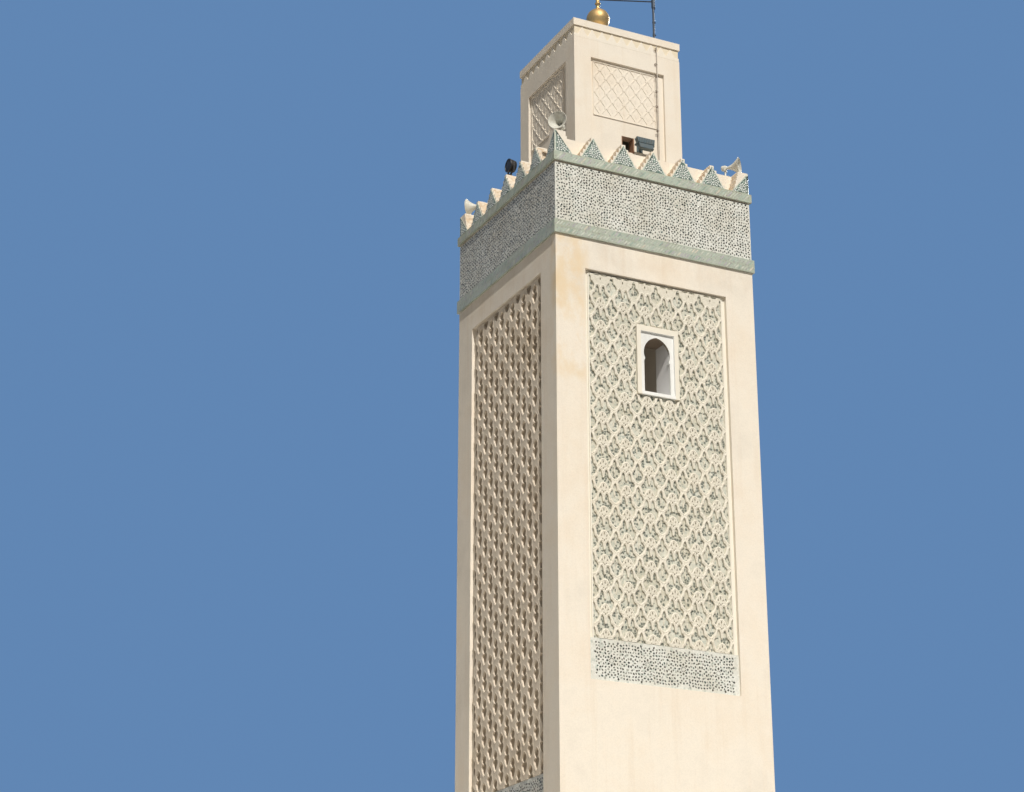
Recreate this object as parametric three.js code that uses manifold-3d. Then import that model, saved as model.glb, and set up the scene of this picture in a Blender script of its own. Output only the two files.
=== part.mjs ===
// Square plastered minaret: shaft with carved net panels, mosaic crown and toothed parapet, and a lantern.
// Millimetres, +Z up. The origin is at the middle of the base; the windowed front faces -Y.
import * as THREE from 'three';
import Module from 'manifold-3d';
import { mergeVertices } from 'three/addons/utils/BufferGeometryUtils.js';

const wasm = await Module();
wasm.setup();

// Shaft
const shaftSide = 5500;
const wallThick = 750;
const wallTop = 25535;
const rabbetThick = 550;
const half = shaftSide / 2;

// Carved panels in the shaft's faces
const panelHalf = 1955;
const recessDepth = 95;
const panelThick = 60;
const frontPanelTop = 22815;
const frontPanelBottom = 13790;
const sidePanelTop = 22865;
const sidePanelBottom = 10810;
const stripHeight = 970;
const stripStandProud = 35;
const filletOut = 1870;
const filletIn = 1835;
const filletHeight = 30;

// Mosaic band under the parapet
const bandBottom = 23600;
const bandTop = 25495;
const bandBorder = 340;
const bandDepth = 60;
const trimOut = 50;

// Arched window, one in the front and one in the back
const windowHalf = 355;
const windowBottom = 19950;
const windowSpring = 20850;
const windowApexRise = 420;
const windowArcRise = 120;
const windowArcCentre = 65;
const windowHead = windowSpring + windowArcRise + windowApexRise;
const windowArcRadius = 425;
const impostOut = 25;
const impostHigh = 70;
const frameHalf = 570;
const frameBottom = 19860;
const frameTop = 21640;
const frameSet = 30;
const fieldHalf = 455;
const fieldTop = 21495;
const fieldDepth = 80;
const sillHigh = 40;
const sillSet = 10;

// Parapet with stepped teeth
const trimTop = 25765;
const toothDepth = 300;
const parapetInner = 500;
const parapetTop = 26355;
const toothTop = 26370;
const toothPitch = 845;
const toothCount = 5;
const toothBaseHalf = 365;
const toothTipHalf = 55;
const toothSteps = 5;
const cornerToothWide = 430;

// Floors
const groundThick = 200;
const galleryBottom = 24900;
const galleryTop = 25200;
const hatchHalf = 900;

// Lantern
const lanternHalf = 1555;
const lanternWall = 300;
const shoulder = 29930;
const friezeIn = 88;
const lanternTop = 30260;
const lanternRecessHalf = 1075;
const lanternRecessTop = 29420;
const lanternRecessBottom = 25900;
const lanternRecessDepth = 70;
const latticeLeft = -1000;
const latticeRight = 850;
const latticeBottom = 27795;
const latticeTop = 29365;
const latticeThick = 45;
const holeLeft = -165;
const holeRight = 160;
const holeBottom = 26970;
const holeTop = 27385;
const doorwayHalf = 380;
const doorwayTop = 27150;
const capHalf = 1570;
const capTop = 30455;
const capHole = 600;

// Dome and finial on the lantern's roof
const domeOuter = 730;
const domeInner = 600;
const domeFlat = 120;
const ballOneRadius = 320;
const ballOneHeight = 31690;
const ballTwoRadius = 205;
const ballTwoHeight = 32520;
const ballThreeRadius = 130;
const ballThreeHeight = 32960;
const finialTip = 33330;
const finialNeck = 60;
const collarOut = 25;
const collarBottom = 32105;
const collarHigh = 55;

// Fixtures
const mastX = 857;
const mastY = -1480;
const mastRadius = 30;
const mastTop = 31900;
const armHeight = 31605;
const armTopHeight = 32235;
const sleeveRadius = 48;
const sleeveBottom = 31420;
const armRadius = 18;
const armGap = 8;
const hornMouth = 240;
const hornLength = 330;
const hornHeights = { near_left: 26725, near_right: 26625, far_left: 26625, far_right: 26625 };
const lampHalf = 270;
const lampDeep = 110;
const lampHigh = 340;
const lampReach = 310;
const lampX = 335;
const lampZ = 27105;
const drumRadius = 185;
const drumLong = 200;
const drumX = -2375;
const drumY = 440;
const drumZ = 26915;
const cableX = 857;
const cableOff = 30;
const cableRadius = 13;
const cableTop = 30230;
const cableClips = [25600, 29660];

// Plain door at the foot of the back
const doorHalf = 560;
const doorTop = 2400;
const doorSet = 300;
const doorThick = 60;
const surroundWide = 150;
const surroundOut = 40;

const colours = {
  plaster: { color: 0xefe3d2, roughness: 0.9, metalness: 0 },
  carved: { color: 0xe6dcc8, roughness: 0.88, metalness: 0 },
  mosaic: { color: 0xaab2a6, roughness: 0.45, metalness: 0 },
  white: { color: 0xe8e8ea, roughness: 0.7, metalness: 0 },
  concrete: { color: 0xb5ab9c, roughness: 0.95, metalness: 0 },
  brass: { color: 0xc9a04e, roughness: 0.35, metalness: 0.9 },
  darkMetal: { color: 0x3d3f42, roughness: 0.6, metalness: 0.6 },
  hornWhite: { color: 0xd9dad2, roughness: 0.5, metalness: 0 },
  lampGrey: { color: 0x5a666a, roughness: 0.5, metalness: 0.4 },
  timber: { color: 0x6e4a2c, roughness: 0.8, metalness: 0 },
};

// Solids
function toSolid(geometry) {
  const plain = geometry.clone();
  plain.deleteAttribute('normal');
  plain.deleteAttribute('uv');
  const merged = mergeVertices(plain, 0.001);
  const vertProperties = new Float32Array(merged.attributes.position.array);
  const triVerts = new Uint32Array(merged.index.array);
  return new wasm.Manifold(new wasm.Mesh({ numProp: 3, vertProperties, triVerts }));
}

function toGeometry(solid) {
  const mesh = solid.getMesh();
  const points = [];
  for (const index of mesh.triVerts) {
    const at = index * mesh.numProp;
    points.push(mesh.vertProperties[at], mesh.vertProperties[at + 1], mesh.vertProperties[at + 2]);
  }
  const geometry = new THREE.BufferGeometry();
  geometry.setAttribute('position', new THREE.Float32BufferAttribute(points, 3));
  geometry.computeVertexNormals();
  return geometry;
}

function unite(parts) {
  let sum = toSolid(parts[0]);
  for (const part of parts.slice(1)) {
    sum = sum.add(toSolid(part));
  }
  return toGeometry(sum);
}

function carve(body, cutters) {
  let left = toSolid(body);
  for (const cutter of cutters) {
    left = left.subtract(toSolid(cutter));
  }
  return toGeometry(left);
}

function box(x0, x1, y0, y1, z0, z1) {
  const geometry = new THREE.BoxGeometry(x1 - x0, y1 - y0, z1 - z0);
  return geometry.translate((x0 + x1) / 2, (y0 + y1) / 2, (z0 + z1) / 2);
}

// A flat outline in x and z, run from yFront back to yBack
function slab(outline, yFront, yBack) {
  const shape = new THREE.Shape(outline.map(([x, z]) => new THREE.Vector2(x, z)));
  const geometry = new THREE.ExtrudeGeometry(shape, { depth: yBack - yFront, bevelEnabled: false });
  return geometry.rotateX(Math.PI / 2).translate(0, yBack, 0);
}

function rod(from, to, radius, sides) {
  const start = new THREE.Vector3(...from);
  const run = new THREE.Vector3(...to).sub(start);
  const geometry = new THREE.CylinderGeometry(radius, radius, run.length(), sides);
  const turn = new THREE.Quaternion().setFromUnitVectors(new THREE.Vector3(0, 1, 0), run.clone().normalize());
  const middle = start.clone().addScaledVector(run, 0.5);
  return geometry.applyQuaternion(turn).translate(middle.x, middle.y, middle.z);
}

function turned(profile, sides) {
  const points = profile.map(([radius, height]) => new THREE.Vector2(radius, height));
  return new THREE.LatheGeometry(points, sides).rotateX(Math.PI / 2);
}

// Quarter turns that carry the front's shapes to the other sides
const sides = { front: 0, left: -Math.PI / 2, back: Math.PI, right: Math.PI / 2 };

const group = new THREE.Group();
group.name = 'minaret';

function place(name, geometry, look, side = 'front') {
  const material = new THREE.MeshStandardMaterial(colours[look]);
  const mesh = new THREE.Mesh(geometry.rotateZ(sides[side]), material);
  mesh.name = name;
  group.add(mesh);
}

// The surround's opening: straight jambs, small imposts and a pointed horseshoe head
function archOutline() {
  const outline = [[-windowHalf, windowBottom], [windowHalf, windowBottom]];
  outline.push([windowHalf, windowSpring - impostHigh]);
  outline.push([windowHalf - impostOut, windowSpring - impostHigh]);
  outline.push([windowHalf - impostOut, windowSpring]);
  const centreZ = windowSpring + windowArcRise;
  const first = Math.asin(-windowArcRise / windowArcRadius);
  const last = Math.atan2(windowApexRise, windowArcCentre);
  const arcSteps = 8;
  const right = [];
  for (let i = 0; i <= arcSteps; i += 1) {
    const angle = first + (last - first) * i / arcSteps;
    const across = windowArcRadius * Math.cos(angle) - windowArcCentre;
    right.push([across, centreZ + windowArcRadius * Math.sin(angle)]);
  }
  right[arcSteps][0] = 0;
  outline.push(...right);
  outline.push(...right.slice(0, arcSteps).reverse().map(([x, z]) => [-x, z]));
  outline.push([-windowHalf + impostOut, windowSpring]);
  outline.push([-windowHalf + impostOut, windowSpring - impostHigh]);
  outline.push([-windowHalf, windowSpring - impostHigh]);
  return outline;
}

// Walls of the shaft, with pockets for the carved panel and the mosaic band
function shaftWall(long, panelBottom, panelTop, hasWindow, hasDoor) {
  const pocket = -half + recessDepth + panelThick;
  const rabbetHalf = Math.min(long + 1, half - rabbetThick);
  const cutters = [
    box(-rabbetHalf, rabbetHalf, -half + rabbetThick, -half + wallThick + 1, galleryBottom, wallTop + 1),
    box(-long - 1, long + 1, -half - 1, -half + bandDepth, bandBottom, wallTop + 1),
    box(-panelHalf, panelHalf, -half - 1, pocket, panelBottom - stripHeight, panelTop),
  ];
  if (hasWindow) {
    cutters.push(box(-windowHalf, windowHalf, -half - 1, -half + wallThick + 1, windowBottom, windowHead));
  }
  if (hasDoor) {
    cutters.push(box(-doorHalf, doorHalf, -half - 1, -half + wallThick + 1, groundThick, doorTop));
  }
  if (long === half) {
    const inward = -half + wallThick + 1;
    cutters.push(box(-half - 1, -half + bandDepth, -half - 1, inward, bandBottom, wallTop + 1));
    cutters.push(box(half - bandDepth, half + 1, -half - 1, inward, bandBottom, wallTop + 1));
  }
  return carve(box(-long, long, -half, -half + wallThick, 0, wallTop), cutters);
}

const shortHalf = half - wallThick;
place('front_wall', shaftWall(half, frontPanelBottom, frontPanelTop, true, false), 'plaster');
place('back_wall', shaftWall(half, frontPanelBottom, frontPanelTop, true, true), 'plaster', 'back');
place('left_wall', shaftWall(shortHalf, sidePanelBottom, sidePanelTop, false, false), 'plaster', 'left');
place('right_wall', shaftWall(shortHalf, sidePanelBottom, sidePanelTop, false, false), 'plaster', 'right');

// Floors: a slab on the ground, and the gallery's floor with a hatch under the lantern
const innerHalf = half - wallThick;
place('ground_floor', box(-innerHalf, innerHalf, -innerHalf, innerHalf, 0, groundThick), 'concrete');
const galleryHalf = half - rabbetThick;
const hatch = box(-hatchHalf, hatchHalf, -hatchHalf, hatchHalf, galleryBottom - 1, galleryTop + 1);
const gallerySlab = box(-galleryHalf, galleryHalf, -galleryHalf, galleryHalf, galleryBottom, galleryTop);
place('gallery_floor', carve(gallerySlab, [hatch]), 'concrete');

// Carved net panel: a backing with a raised fillet; the front and back ones leave room for the window
function netPanel(bottom, top, hasWindow) {
  const face = -half + recessDepth;
  const edge = panelHalf - filletOut;
  const plate = box(-panelHalf, panelHalf, face, face + panelThick, bottom, top);
  const outer = box(-filletOut, filletOut, face - filletHeight, face + 1, bottom, top - edge);
  const step = filletOut - filletIn;
  const inner = box(-filletIn, filletIn, face - filletHeight - 1, face, bottom - 1, top - edge - step);
  const fillet = carve(outer, [inner]);
  let panel = unite([plate, fillet]);
  if (hasWindow) {
    const framed = box(-frameHalf, frameHalf, -half - 1, face + panelThick + 1, frameBottom, frameTop);
    panel = carve(panel, [framed]);
  }
  return panel;
}

function tileStrip(panelBottom) {
  const face = -half + recessDepth - stripStandProud;
  const back = -half + recessDepth + panelThick;
  return box(-panelHalf, panelHalf, face, back, panelBottom - stripHeight, panelBottom);
}

for (const side of Object.keys(sides)) {
  const windowed = side === 'front' || side === 'back';
  const bottom = windowed ? frontPanelBottom : sidePanelBottom;
  const top = windowed ? frontPanelTop : sidePanelTop;
  place(`${side}_net_panel`, netPanel(bottom, top, windowed), 'carved', side);
  place(`${side}_mosaic_strip`, tileStrip(bottom), 'mosaic', side);
}

// Window surround: a border a little behind the wall face, a sunk field, the arch cut through and a thin sill
function windowSurround() {
  const back = -half + recessDepth + panelThick;
  const body = box(-frameHalf, frameHalf, -half + frameSet, back, frameBottom, frameTop);
  const field = box(-fieldHalf, fieldHalf, -half, -half + fieldDepth, windowBottom, fieldTop);
  const sillTop = frameBottom + sillHigh;
  const sill = box(-frameHalf, frameHalf, -half + sillSet, -half + fieldDepth, frameBottom, sillTop);
  return carve(unite([body, sill]), [field, slab(archOutline(), -half, back + 1)]);
}
place('front_window_surround', windowSurround(), 'white');
place('back_window_surround', windowSurround(), 'white', 'back');

// Mosaic band: a flush tiled field over a projecting lower border
function mosaicBand(long, borderLong) {
  const field = box(-long, long, -half, -half + bandDepth, bandBottom, bandTop);
  const borderTop = bandBottom + bandBorder;
  const border = box(-borderLong, borderLong, -half - trimOut, -half + bandDepth, bandBottom, borderTop);
  return unite([field, border]);
}
place('front_mosaic_band', mosaicBand(half, half + trimOut), 'mosaic');
place('back_mosaic_band', mosaicBand(half, half + trimOut), 'mosaic', 'back');
place('left_mosaic_band', mosaicBand(half - bandDepth, half - bandDepth), 'mosaic', 'left');
place('right_mosaic_band', mosaicBand(half - bandDepth, half - bandDepth), 'mosaic', 'right');

// Stepped tooth outline about x = 0
function toothOutline() {
  const high = (toothTop - trimTop) / toothSteps;
  const rightSide = [];
  for (let i = 0; i < toothSteps; i += 1) {
    const wide = toothBaseHalf + (toothTipHalf - toothBaseHalf) * i / (toothSteps - 1);
    rightSide.push([wide, trimTop + high * i]);
    rightSide.push([wide, trimTop + high * (i + 1)]);
  }
  return [...rightSide, ...rightSide.map(([x, z]) => [-x, z]).reverse()];
}

// Half tooth that ends square at a corner of the tower, on the end given by its sign
function cornerOutline(end) {
  const high = (toothTop - trimTop) / toothSteps;
  const stepped = [];
  for (let i = 0; i < toothSteps; i += 1) {
    const wide = cornerToothWide + (toothDepth - cornerToothWide) * i / (toothSteps - 1);
    stepped.push([end * (half - wide), trimTop + high * i]);
    stepped.push([end * (half - wide), trimTop + high * (i + 1)]);
  }
  return [[end * half, trimTop], ...stepped, [end * half, toothTop]];
}

// Outlines drawn clockwise are turned round before they are run back
function counterClockwise(outline) {
  const shape = outline.map(([x, z]) => new THREE.Vector2(x, z));
  return THREE.ShapeUtils.isClockWise(shape) ? outline.slice().reverse() : outline;
}

// Parapet: a projecting trim course, an upstand behind, and teeth in front of it
function parapet(withCorners) {
  const inner = -half + parapetInner;
  const trimHalf = withCorners ? half + trimOut : half - parapetInner;
  const wallHalf = withCorners ? half : half - parapetInner;
  const parts = [box(-trimHalf, trimHalf, -half - trimOut, inner, wallTop, trimTop)];
  const upHalf = withCorners ? half - toothDepth : wallHalf;
  parts.push(box(-upHalf, upHalf, -half + toothDepth, inner, trimTop - 1, parapetTop));
  for (let i = 0; i < toothCount; i += 1) {
    const middle = (i - (toothCount - 1) / 2) * toothPitch;
    const outline = toothOutline().map(([x, z]) => [x + middle, z === trimTop ? trimTop - 1 : z]);
    parts.push(slab(counterClockwise(outline), -half, -half + toothDepth + 1));
  }
  if (withCorners) {
    for (const end of [-1, 1]) {
      const outline = cornerOutline(end).map(([x, z]) => [x, z === trimTop ? trimTop - 1 : z]);
      const returned = cornerOutline(-end).map(([x, z]) => [x, z === trimTop ? trimTop - 1 : z]);
      parts.push(slab(counterClockwise(outline), -half, -half + toothDepth + 1));
      parts.push(slab(counterClockwise(returned), -half, -half + toothDepth + 1).rotateZ(end * Math.PI / 2));
    }
  }
  return unite(parts);
}
place('front_parapet', parapet(true), 'plaster');
place('back_parapet', parapet(true), 'plaster', 'back');
place('left_parapet', parapet(false), 'plaster', 'left');
place('right_parapet', parapet(false), 'plaster', 'right');

// Lantern walls: a sunk panel below a rounded shoulder and a set-in frieze
function lanternWallShape(long, opening) {
  const pocket = -lanternHalf + lanternRecessDepth;
  const cutters = [
    box(-long - 1, long + 1, -lanternHalf - 1, -lanternHalf + friezeIn, shoulder, lanternTop + 1),
    box(-lanternRecessHalf, lanternRecessHalf, -lanternHalf - 1, pocket, lanternRecessBottom, lanternRecessTop),
    box(latticeLeft, latticeRight, pocket - 1, pocket + latticeThick, latticeBottom, latticeTop),
  ];
  if (long === lanternHalf) {
    for (const end of [-1, 1]) {
      const outer = end < 0 ? [-long - 1, -long + friezeIn] : [long - friezeIn, long + 1];
      const back = -lanternHalf + lanternWall + 1;
      cutters.push(box(outer[0], outer[1], -lanternHalf - 1, back, shoulder, lanternTop + 1));
    }
  }
  if (opening) {
    const back = -lanternHalf + lanternWall + 1;
    cutters.push(box(opening[0], opening[1], -lanternHalf - 1, back, opening[2], opening[3]));
  }
  return carve(box(-long, long, -lanternHalf, -lanternHalf + lanternWall, galleryTop, lanternTop), cutters);
}
const lanternShort = lanternHalf - lanternWall;
const smallHole = [holeLeft, holeRight, holeBottom, holeTop];
const doorway = [-doorwayHalf, doorwayHalf, galleryTop - 1, doorwayTop];
place('lantern_front_wall', lanternWallShape(lanternHalf, smallHole), 'plaster');
place('lantern_back_wall', lanternWallShape(lanternHalf, doorway), 'plaster', 'back');
place('lantern_left_wall', lanternWallShape(lanternShort, null), 'plaster', 'left');
place('lantern_right_wall', lanternWallShape(lanternShort, null), 'plaster', 'right');

// Lattice panels let into the lantern's sunk panels
for (const side of Object.keys(sides)) {
  const face = -lanternHalf + lanternRecessDepth;
  const plate = box(latticeLeft, latticeRight, face, face + latticeThick, latticeBottom, latticeTop);
  place(`lantern_${side}_lattice`, plate, 'carved', side);
}

// Roof slab, dome and finial
const roofHole = new THREE.CylinderGeometry(capHole, capHole, capTop - lanternTop + 2, 32);
roofHole.rotateX(Math.PI / 2);
roofHole.translate(0, 0, (capTop + lanternTop) / 2);
const roofSlab = box(-capHalf, capHalf, -capHalf, capHalf, lanternTop, capTop);
place('lantern_roof', carve(roofSlab, [roofHole]), 'plaster');

function domeProfile() {
  const steps = 8;
  const profile = [];
  const flatAngle = Math.asin(domeFlat / domeOuter);
  for (let i = 0; i <= steps; i += 1) {
    const angle = Math.PI / 2 - (Math.PI / 2 - flatAngle) * i / steps;
    profile.push([domeOuter * Math.sin(angle), capTop + domeOuter * Math.cos(angle)]);
  }
  profile.push([0, capTop + domeOuter * Math.cos(flatAngle)]);
  profile.push([0, capTop + domeInner]);
  for (let i = 1; i <= steps; i += 1) {
    const angle = Math.PI / 2 * i / steps;
    profile.push([domeInner * Math.sin(angle), capTop + domeInner * Math.cos(angle)]);
  }
  profile.push([domeOuter, capTop]);
  return profile;
}
place('lantern_dome', turned(domeProfile(), 32), 'plaster');

// Finial: three graded balls on a rod, drawn to a point
function finialProfile() {
  const foot = capTop + domeOuter * Math.cos(Math.asin(domeFlat / domeOuter));
  const profile = [[0, foot], [domeFlat - 10, foot], [domeFlat - 10, foot + 35], [finialNeck, foot + 70]];
  const balls = [
    [ballOneRadius, ballOneHeight], [ballTwoRadius, ballTwoHeight], [ballThreeRadius, ballThreeHeight],
  ];
  const steps = 10;
  for (const [radius, height] of balls) {
    if (height === ballTwoHeight) {
      profile.push([finialNeck, collarBottom], [finialNeck + collarOut, collarBottom + collarHigh * 0.3]);
      profile.push([finialNeck + collarOut, collarBottom + collarHigh * 0.7]);
      profile.push([finialNeck, collarBottom + collarHigh]);
    }
    const first = Math.asin(finialNeck / radius);
    for (let i = 0; i <= steps; i += 1) {
      const angle = first + (Math.PI - 2 * first) * i / steps;
      profile.push([radius * Math.sin(angle), height - radius * Math.cos(angle)]);
    }
  }
  profile.push([finialNeck * 0.6, finialTip - 120]);
  profile.push([0, finialTip]);
  return profile;
}
place('finial', turned(finialProfile(), 24), 'brass');

// Signal mast on the roof slab near the front edge, stayed to the finial's neck by an arm
function mastShape() {
  const short = (finialNeck + armGap) / Math.hypot(mastX, mastY);
  const end = [mastX * short, mastY * short, armTopHeight];
  const mast = rod([mastX, mastY, capTop], [mastX, mastY, mastTop], mastRadius, 12);
  const sleeve = rod([mastX, mastY, sleeveBottom], [mastX, mastY, mastTop + 10], sleeveRadius, 12);
  const arm = rod([mastX, mastY, armHeight], end, armRadius, 8);
  const foot = box(mastX - 70, mastX + 70, mastY - 70, mastY + 70, capTop, capTop + 12);
  return unite([foot, mast, sleeve, arm]);
}
place('signal_mast', mastShape(), 'darkMetal');

// Horn loudspeaker on a stub bracket; it opens along -Y before it is turned to its corner
function hornShape(hornHeight) {
  const wallOf = 12;
  const throat = 38;
  const driver = 75;
  const steps = 5;
  const outer = [];
  const inner = [];
  for (let i = 0; i <= steps; i += 1) {
    const t = i / steps;
    const radius = throat + (hornMouth - throat) * Math.pow(t, 1.7);
    outer.push([radius, hornLength * t]);
    inner.push([radius - wallOf, hornLength * t + (i === 0 ? wallOf : 0)]);
  }
  const bell = [[0, -150], [driver, -150], [driver, -10], [throat, 0], ...outer.slice(1), ...inner.reverse()];
  bell.push([0, wallOf]);
  const bellShape = turned(bell, 24).rotateX(Math.PI / 2);
  const post = box(-28, 28, -10, 46, -(hornHeight - parapetTop), -40);
  const plate = box(-75, 75, -57, 93, -(hornHeight - parapetTop), -(hornHeight - parapetTop) + 12);
  return unite([bellShape, post, plate]);
}

const hornAt = half - 375;
const hornCorners = {
  near_left: [-1, -1, -Math.PI / 4],
  near_right: [1, -1, Math.PI / 4],
  far_left: [-1, 1, -Math.PI * 3 / 4],
  far_right: [1, 1, Math.PI * 3 / 4],
};
for (const [corner, [signX, signY, turn]] of Object.entries(hornCorners)) {
  const high = hornHeights[corner];
  const horn = hornShape(high).rotateZ(turn).translate(signX * hornAt, signY * hornAt, high);
  place(`horn_${corner}`, horn, 'hornWhite');
}

// Floodlight on the lantern's front: a shallow box tipped down on a short arm
function floodlight() {
  const tilt = 0.6;
  const deep = lampDeep / 2;
  const body = box(-lampHalf, lampHalf, -deep, deep, -lampHigh / 2, lampHigh / 2).rotateX(tilt);
  const narrow = lampHalf * 0.6;
  const housing = box(-narrow, narrow, 0, lampDeep, -lampHigh / 4, lampHigh / 4).rotateX(tilt);
  const arm = box(-40, 40, 0, lampReach - 1, -25, 25);
  const plate = box(-90, 90, lampReach - 12, lampReach, -90, 90);
  const lampY = -lanternHalf + lanternRecessDepth - lampReach;
  return unite([body, housing, arm, plate]).translate(lampX, lampY, lampZ);
}
place('floodlight', floodlight(), 'lampGrey');

// Dark round lamp on a post on the left parapet
function parapetLamp() {
  const drum = new THREE.CylinderGeometry(drumRadius, drumRadius * 0.8, drumLong, 24).rotateZ(Math.PI / 2);
  drum.translate(drumX, drumY, drumZ);
  const post = box(drumX - 25, drumX + 25, drumY - 25, drumY + 25, parapetTop, drumZ - drumRadius / 2);
  const plate = box(drumX - 70, drumX + 70, drumY - 80, drumY + 80, parapetTop, parapetTop + 12);
  return unite([drum, post, plate]);
}
place('parapet_lamp', parapetLamp(), 'darkMetal');

// Cable down the lantern's front, held by two clips
function cableRun() {
  const y = -lanternHalf - cableOff;
  const parts = [rod([cableX, y, galleryTop], [cableX, y, cableTop], cableRadius, 8)];
  for (const z of cableClips) {
    parts.push(box(cableX - 20, cableX + 20, y, -lanternHalf, z - 15, z + 15));
  }
  return unite(parts);
}
place('lantern_cable', cableRun(), 'darkMetal');

// Plain door in the back, with a raised plaster surround
const doorFace = -half + doorSet;
const doorLeaf = box(-doorHalf, doorHalf, doorFace, doorFace + doorThick, groundThick, doorTop);
place('door_leaf', doorLeaf, 'timber', 'back');
const surroundOuter = doorHalf + surroundWide;
const surroundTop = doorTop + surroundWide;
const surroundBlank = box(-surroundOuter, surroundOuter, -half - surroundOut, -half, 0, surroundTop);
const surroundGap = box(-doorHalf, doorHalf, -half - surroundOut - 1, -half + 1, groundThick, doorTop);
place('door_surround', carve(surroundBlank, [surroundGap]), 'plaster', 'back');

export default group;
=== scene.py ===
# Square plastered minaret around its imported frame: carved nets, tile mosaic, brass, horns, lamps and plaster
import bmesh
import bpy
import math
import random
from mathutils import Matrix, Vector
from mathutils.geometry import delaunay_2d_cdt


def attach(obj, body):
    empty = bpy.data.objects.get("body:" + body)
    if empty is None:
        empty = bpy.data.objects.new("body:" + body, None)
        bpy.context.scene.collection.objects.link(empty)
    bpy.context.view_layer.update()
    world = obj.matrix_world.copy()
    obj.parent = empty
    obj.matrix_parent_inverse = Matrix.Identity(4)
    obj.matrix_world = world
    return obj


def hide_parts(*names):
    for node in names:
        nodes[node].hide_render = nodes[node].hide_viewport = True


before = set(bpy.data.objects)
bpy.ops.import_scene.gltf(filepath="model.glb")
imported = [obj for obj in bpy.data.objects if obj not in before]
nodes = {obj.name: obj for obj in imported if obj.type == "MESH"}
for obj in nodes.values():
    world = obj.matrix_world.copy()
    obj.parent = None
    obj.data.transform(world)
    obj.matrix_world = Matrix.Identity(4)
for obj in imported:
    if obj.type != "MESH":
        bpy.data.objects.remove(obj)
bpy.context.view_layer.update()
sides = {"front": 0, "left": -90, "back": 180, "right": 90}    # quarter turns of the front's shapes
print("frame loaded,", len(nodes), "solids")

view = {
    "place": (-23.694, -43.430, 1.827),
    "lookUp": 21.0225,       # degrees, as every angle here
    "lookRight": 25.9421,
    "lens": 74.4213,
    "sensor": 36,
    "farthest": 500,
    "suns": {
        "sun": {
            "toward": (-0.135, -0.69, 0.71), "power": 3.68, "softness": 1.2, "colour": (1.0, 0.955, 0.88)},
        "back light": {
            "toward": (0.74, 0.50, 0.45), "power": 1.5, "softness": 12.0, "colour": (0.93, 0.96, 1.0)},
    },
    "shaftPower": 20.0,      # watts, a faint light behind the windows
    "shaftHeight": 19.0,
    "shaftSoftness": 0.3,
    "fillColour": (1.0, 0.97, 0.93),
    "fillPower": 0.20,
    "backdrop": (0.12, 0.24, 0.455),
    "backdropInGloss": 0.6,
    "floorSide": 60.0,
    "floorDrop": 0.002,
    "floorColour": (0.62, 0.58, 0.52),
    "floorRoughness": 0.95,
}
within = {"weld": 1e-5, "netWeld": 2e-4, "cut": 1e-6, "zero": 1e-6}    # metres


def linked(name, data):
    made = bpy.data.objects.new(name, data)
    bpy.context.scene.collection.objects.link(made)
    return made


def makeCamera():
    data = bpy.data.cameras.new("camera")
    data.lens = view["lens"]
    data.sensor_width = view["sensor"]
    data.clip_end = view["farthest"]
    camera = linked("camera", data)
    camera.location = view["place"]
    camera.rotation_euler = (math.radians(90 + view["lookUp"]), 0, -math.radians(view["lookRight"]))
    bpy.context.scene.camera = camera


makeCamera()
print("camera set")


# node helpers, used by every material and tree
def addNode(tree, kind, **settings):
    made = tree.nodes.new(kind)
    for key, value in settings.items():
        setattr(made, key, value)
    return made


def feed(tree, source, target):
    tree.links.new(source, target)


# An input takes another node's output or a fixed value
def give(tree, value, target):
    if isinstance(value, bpy.types.NodeSocket):
        feed(tree, value, target)
    else:
        target.default_value = value


def setInputs(tree, made, values):
    for key, value in values.items():
        give(tree, value, made.inputs[key])


def mixColour(tree, blend, amount, first, second):
    mix = addNode(tree, "ShaderNodeMix", data_type="RGBA", blend_type=blend)
    setInputs(tree, mix, {0: amount, 6: first, 7: second})
    return mix.outputs[2]


def calculate(tree, operation, *values):
    made = addNode(tree, "ShaderNodeMath", operation=operation)
    setInputs(tree, made, dict(enumerate(values)))
    return made.outputs[0]


def noiseOf(tree, at, values):
    noise = addNode(tree, "ShaderNodeTexNoise")
    setInputs(tree, noise, {"Vector": at, **values})
    return noise.outputs["Fac"]


def mappedFrom(tree, at, values):
    mapping = addNode(tree, "ShaderNodeMapping")
    setInputs(tree, mapping, {"Vector": at, **values})
    return mapping.outputs[0]


def splitOf(tree, vector):
    split = addNode(tree, "ShaderNodeSeparateXYZ")
    feed(tree, vector, split.inputs[0])
    return split.outputs


# The colour that a ramp gives to a value, from stops of place and colour
def rampOf(tree, source, stops, mode="LINEAR"):
    ramp = addNode(tree, "ShaderNodeValToRGB")
    ramp.color_ramp.interpolation = mode
    while len(ramp.color_ramp.elements) < len(stops):
        ramp.color_ramp.elements.new(0.5)
    for element, (place, colour) in zip(ramp.color_ramp.elements, stops):
        element.position = place
        element.color = (*colour, 1)
    feed(tree, source, ramp.inputs[0])
    return ramp.outputs[0]


def greyRamp(tree, source, *stops):
    return rampOf(tree, source, [(place, (value, value, value)) for place, value in stops])


socketKinds = {"colour": "NodeSocketColor", "value": "NodeSocketFloat", "vector": "NodeSocketVector",
               "geometry": "NodeSocketGeometry", "object": "NodeSocketObject", "whole": "NodeSocketInt",
               "material": "NodeSocketMaterial"}


# A shader group or a geometry tree; each input has a name, a kind and, where it needs one, a first value
def newTree(treeKind, name, inputs, outputs):
    tree = bpy.data.node_groups.new(name, treeKind)
    for direction, sockets in (("INPUT", inputs), ("OUTPUT", outputs)):
        for label, kind, *first in sockets:
            socket = tree.interface.new_socket(name=label, in_out=direction, socket_type=socketKinds[kind])
            if first:
                socket.default_value = first[0]
    return tree, addNode(tree, "NodeGroupInput"), addNode(tree, "NodeGroupOutput")


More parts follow.
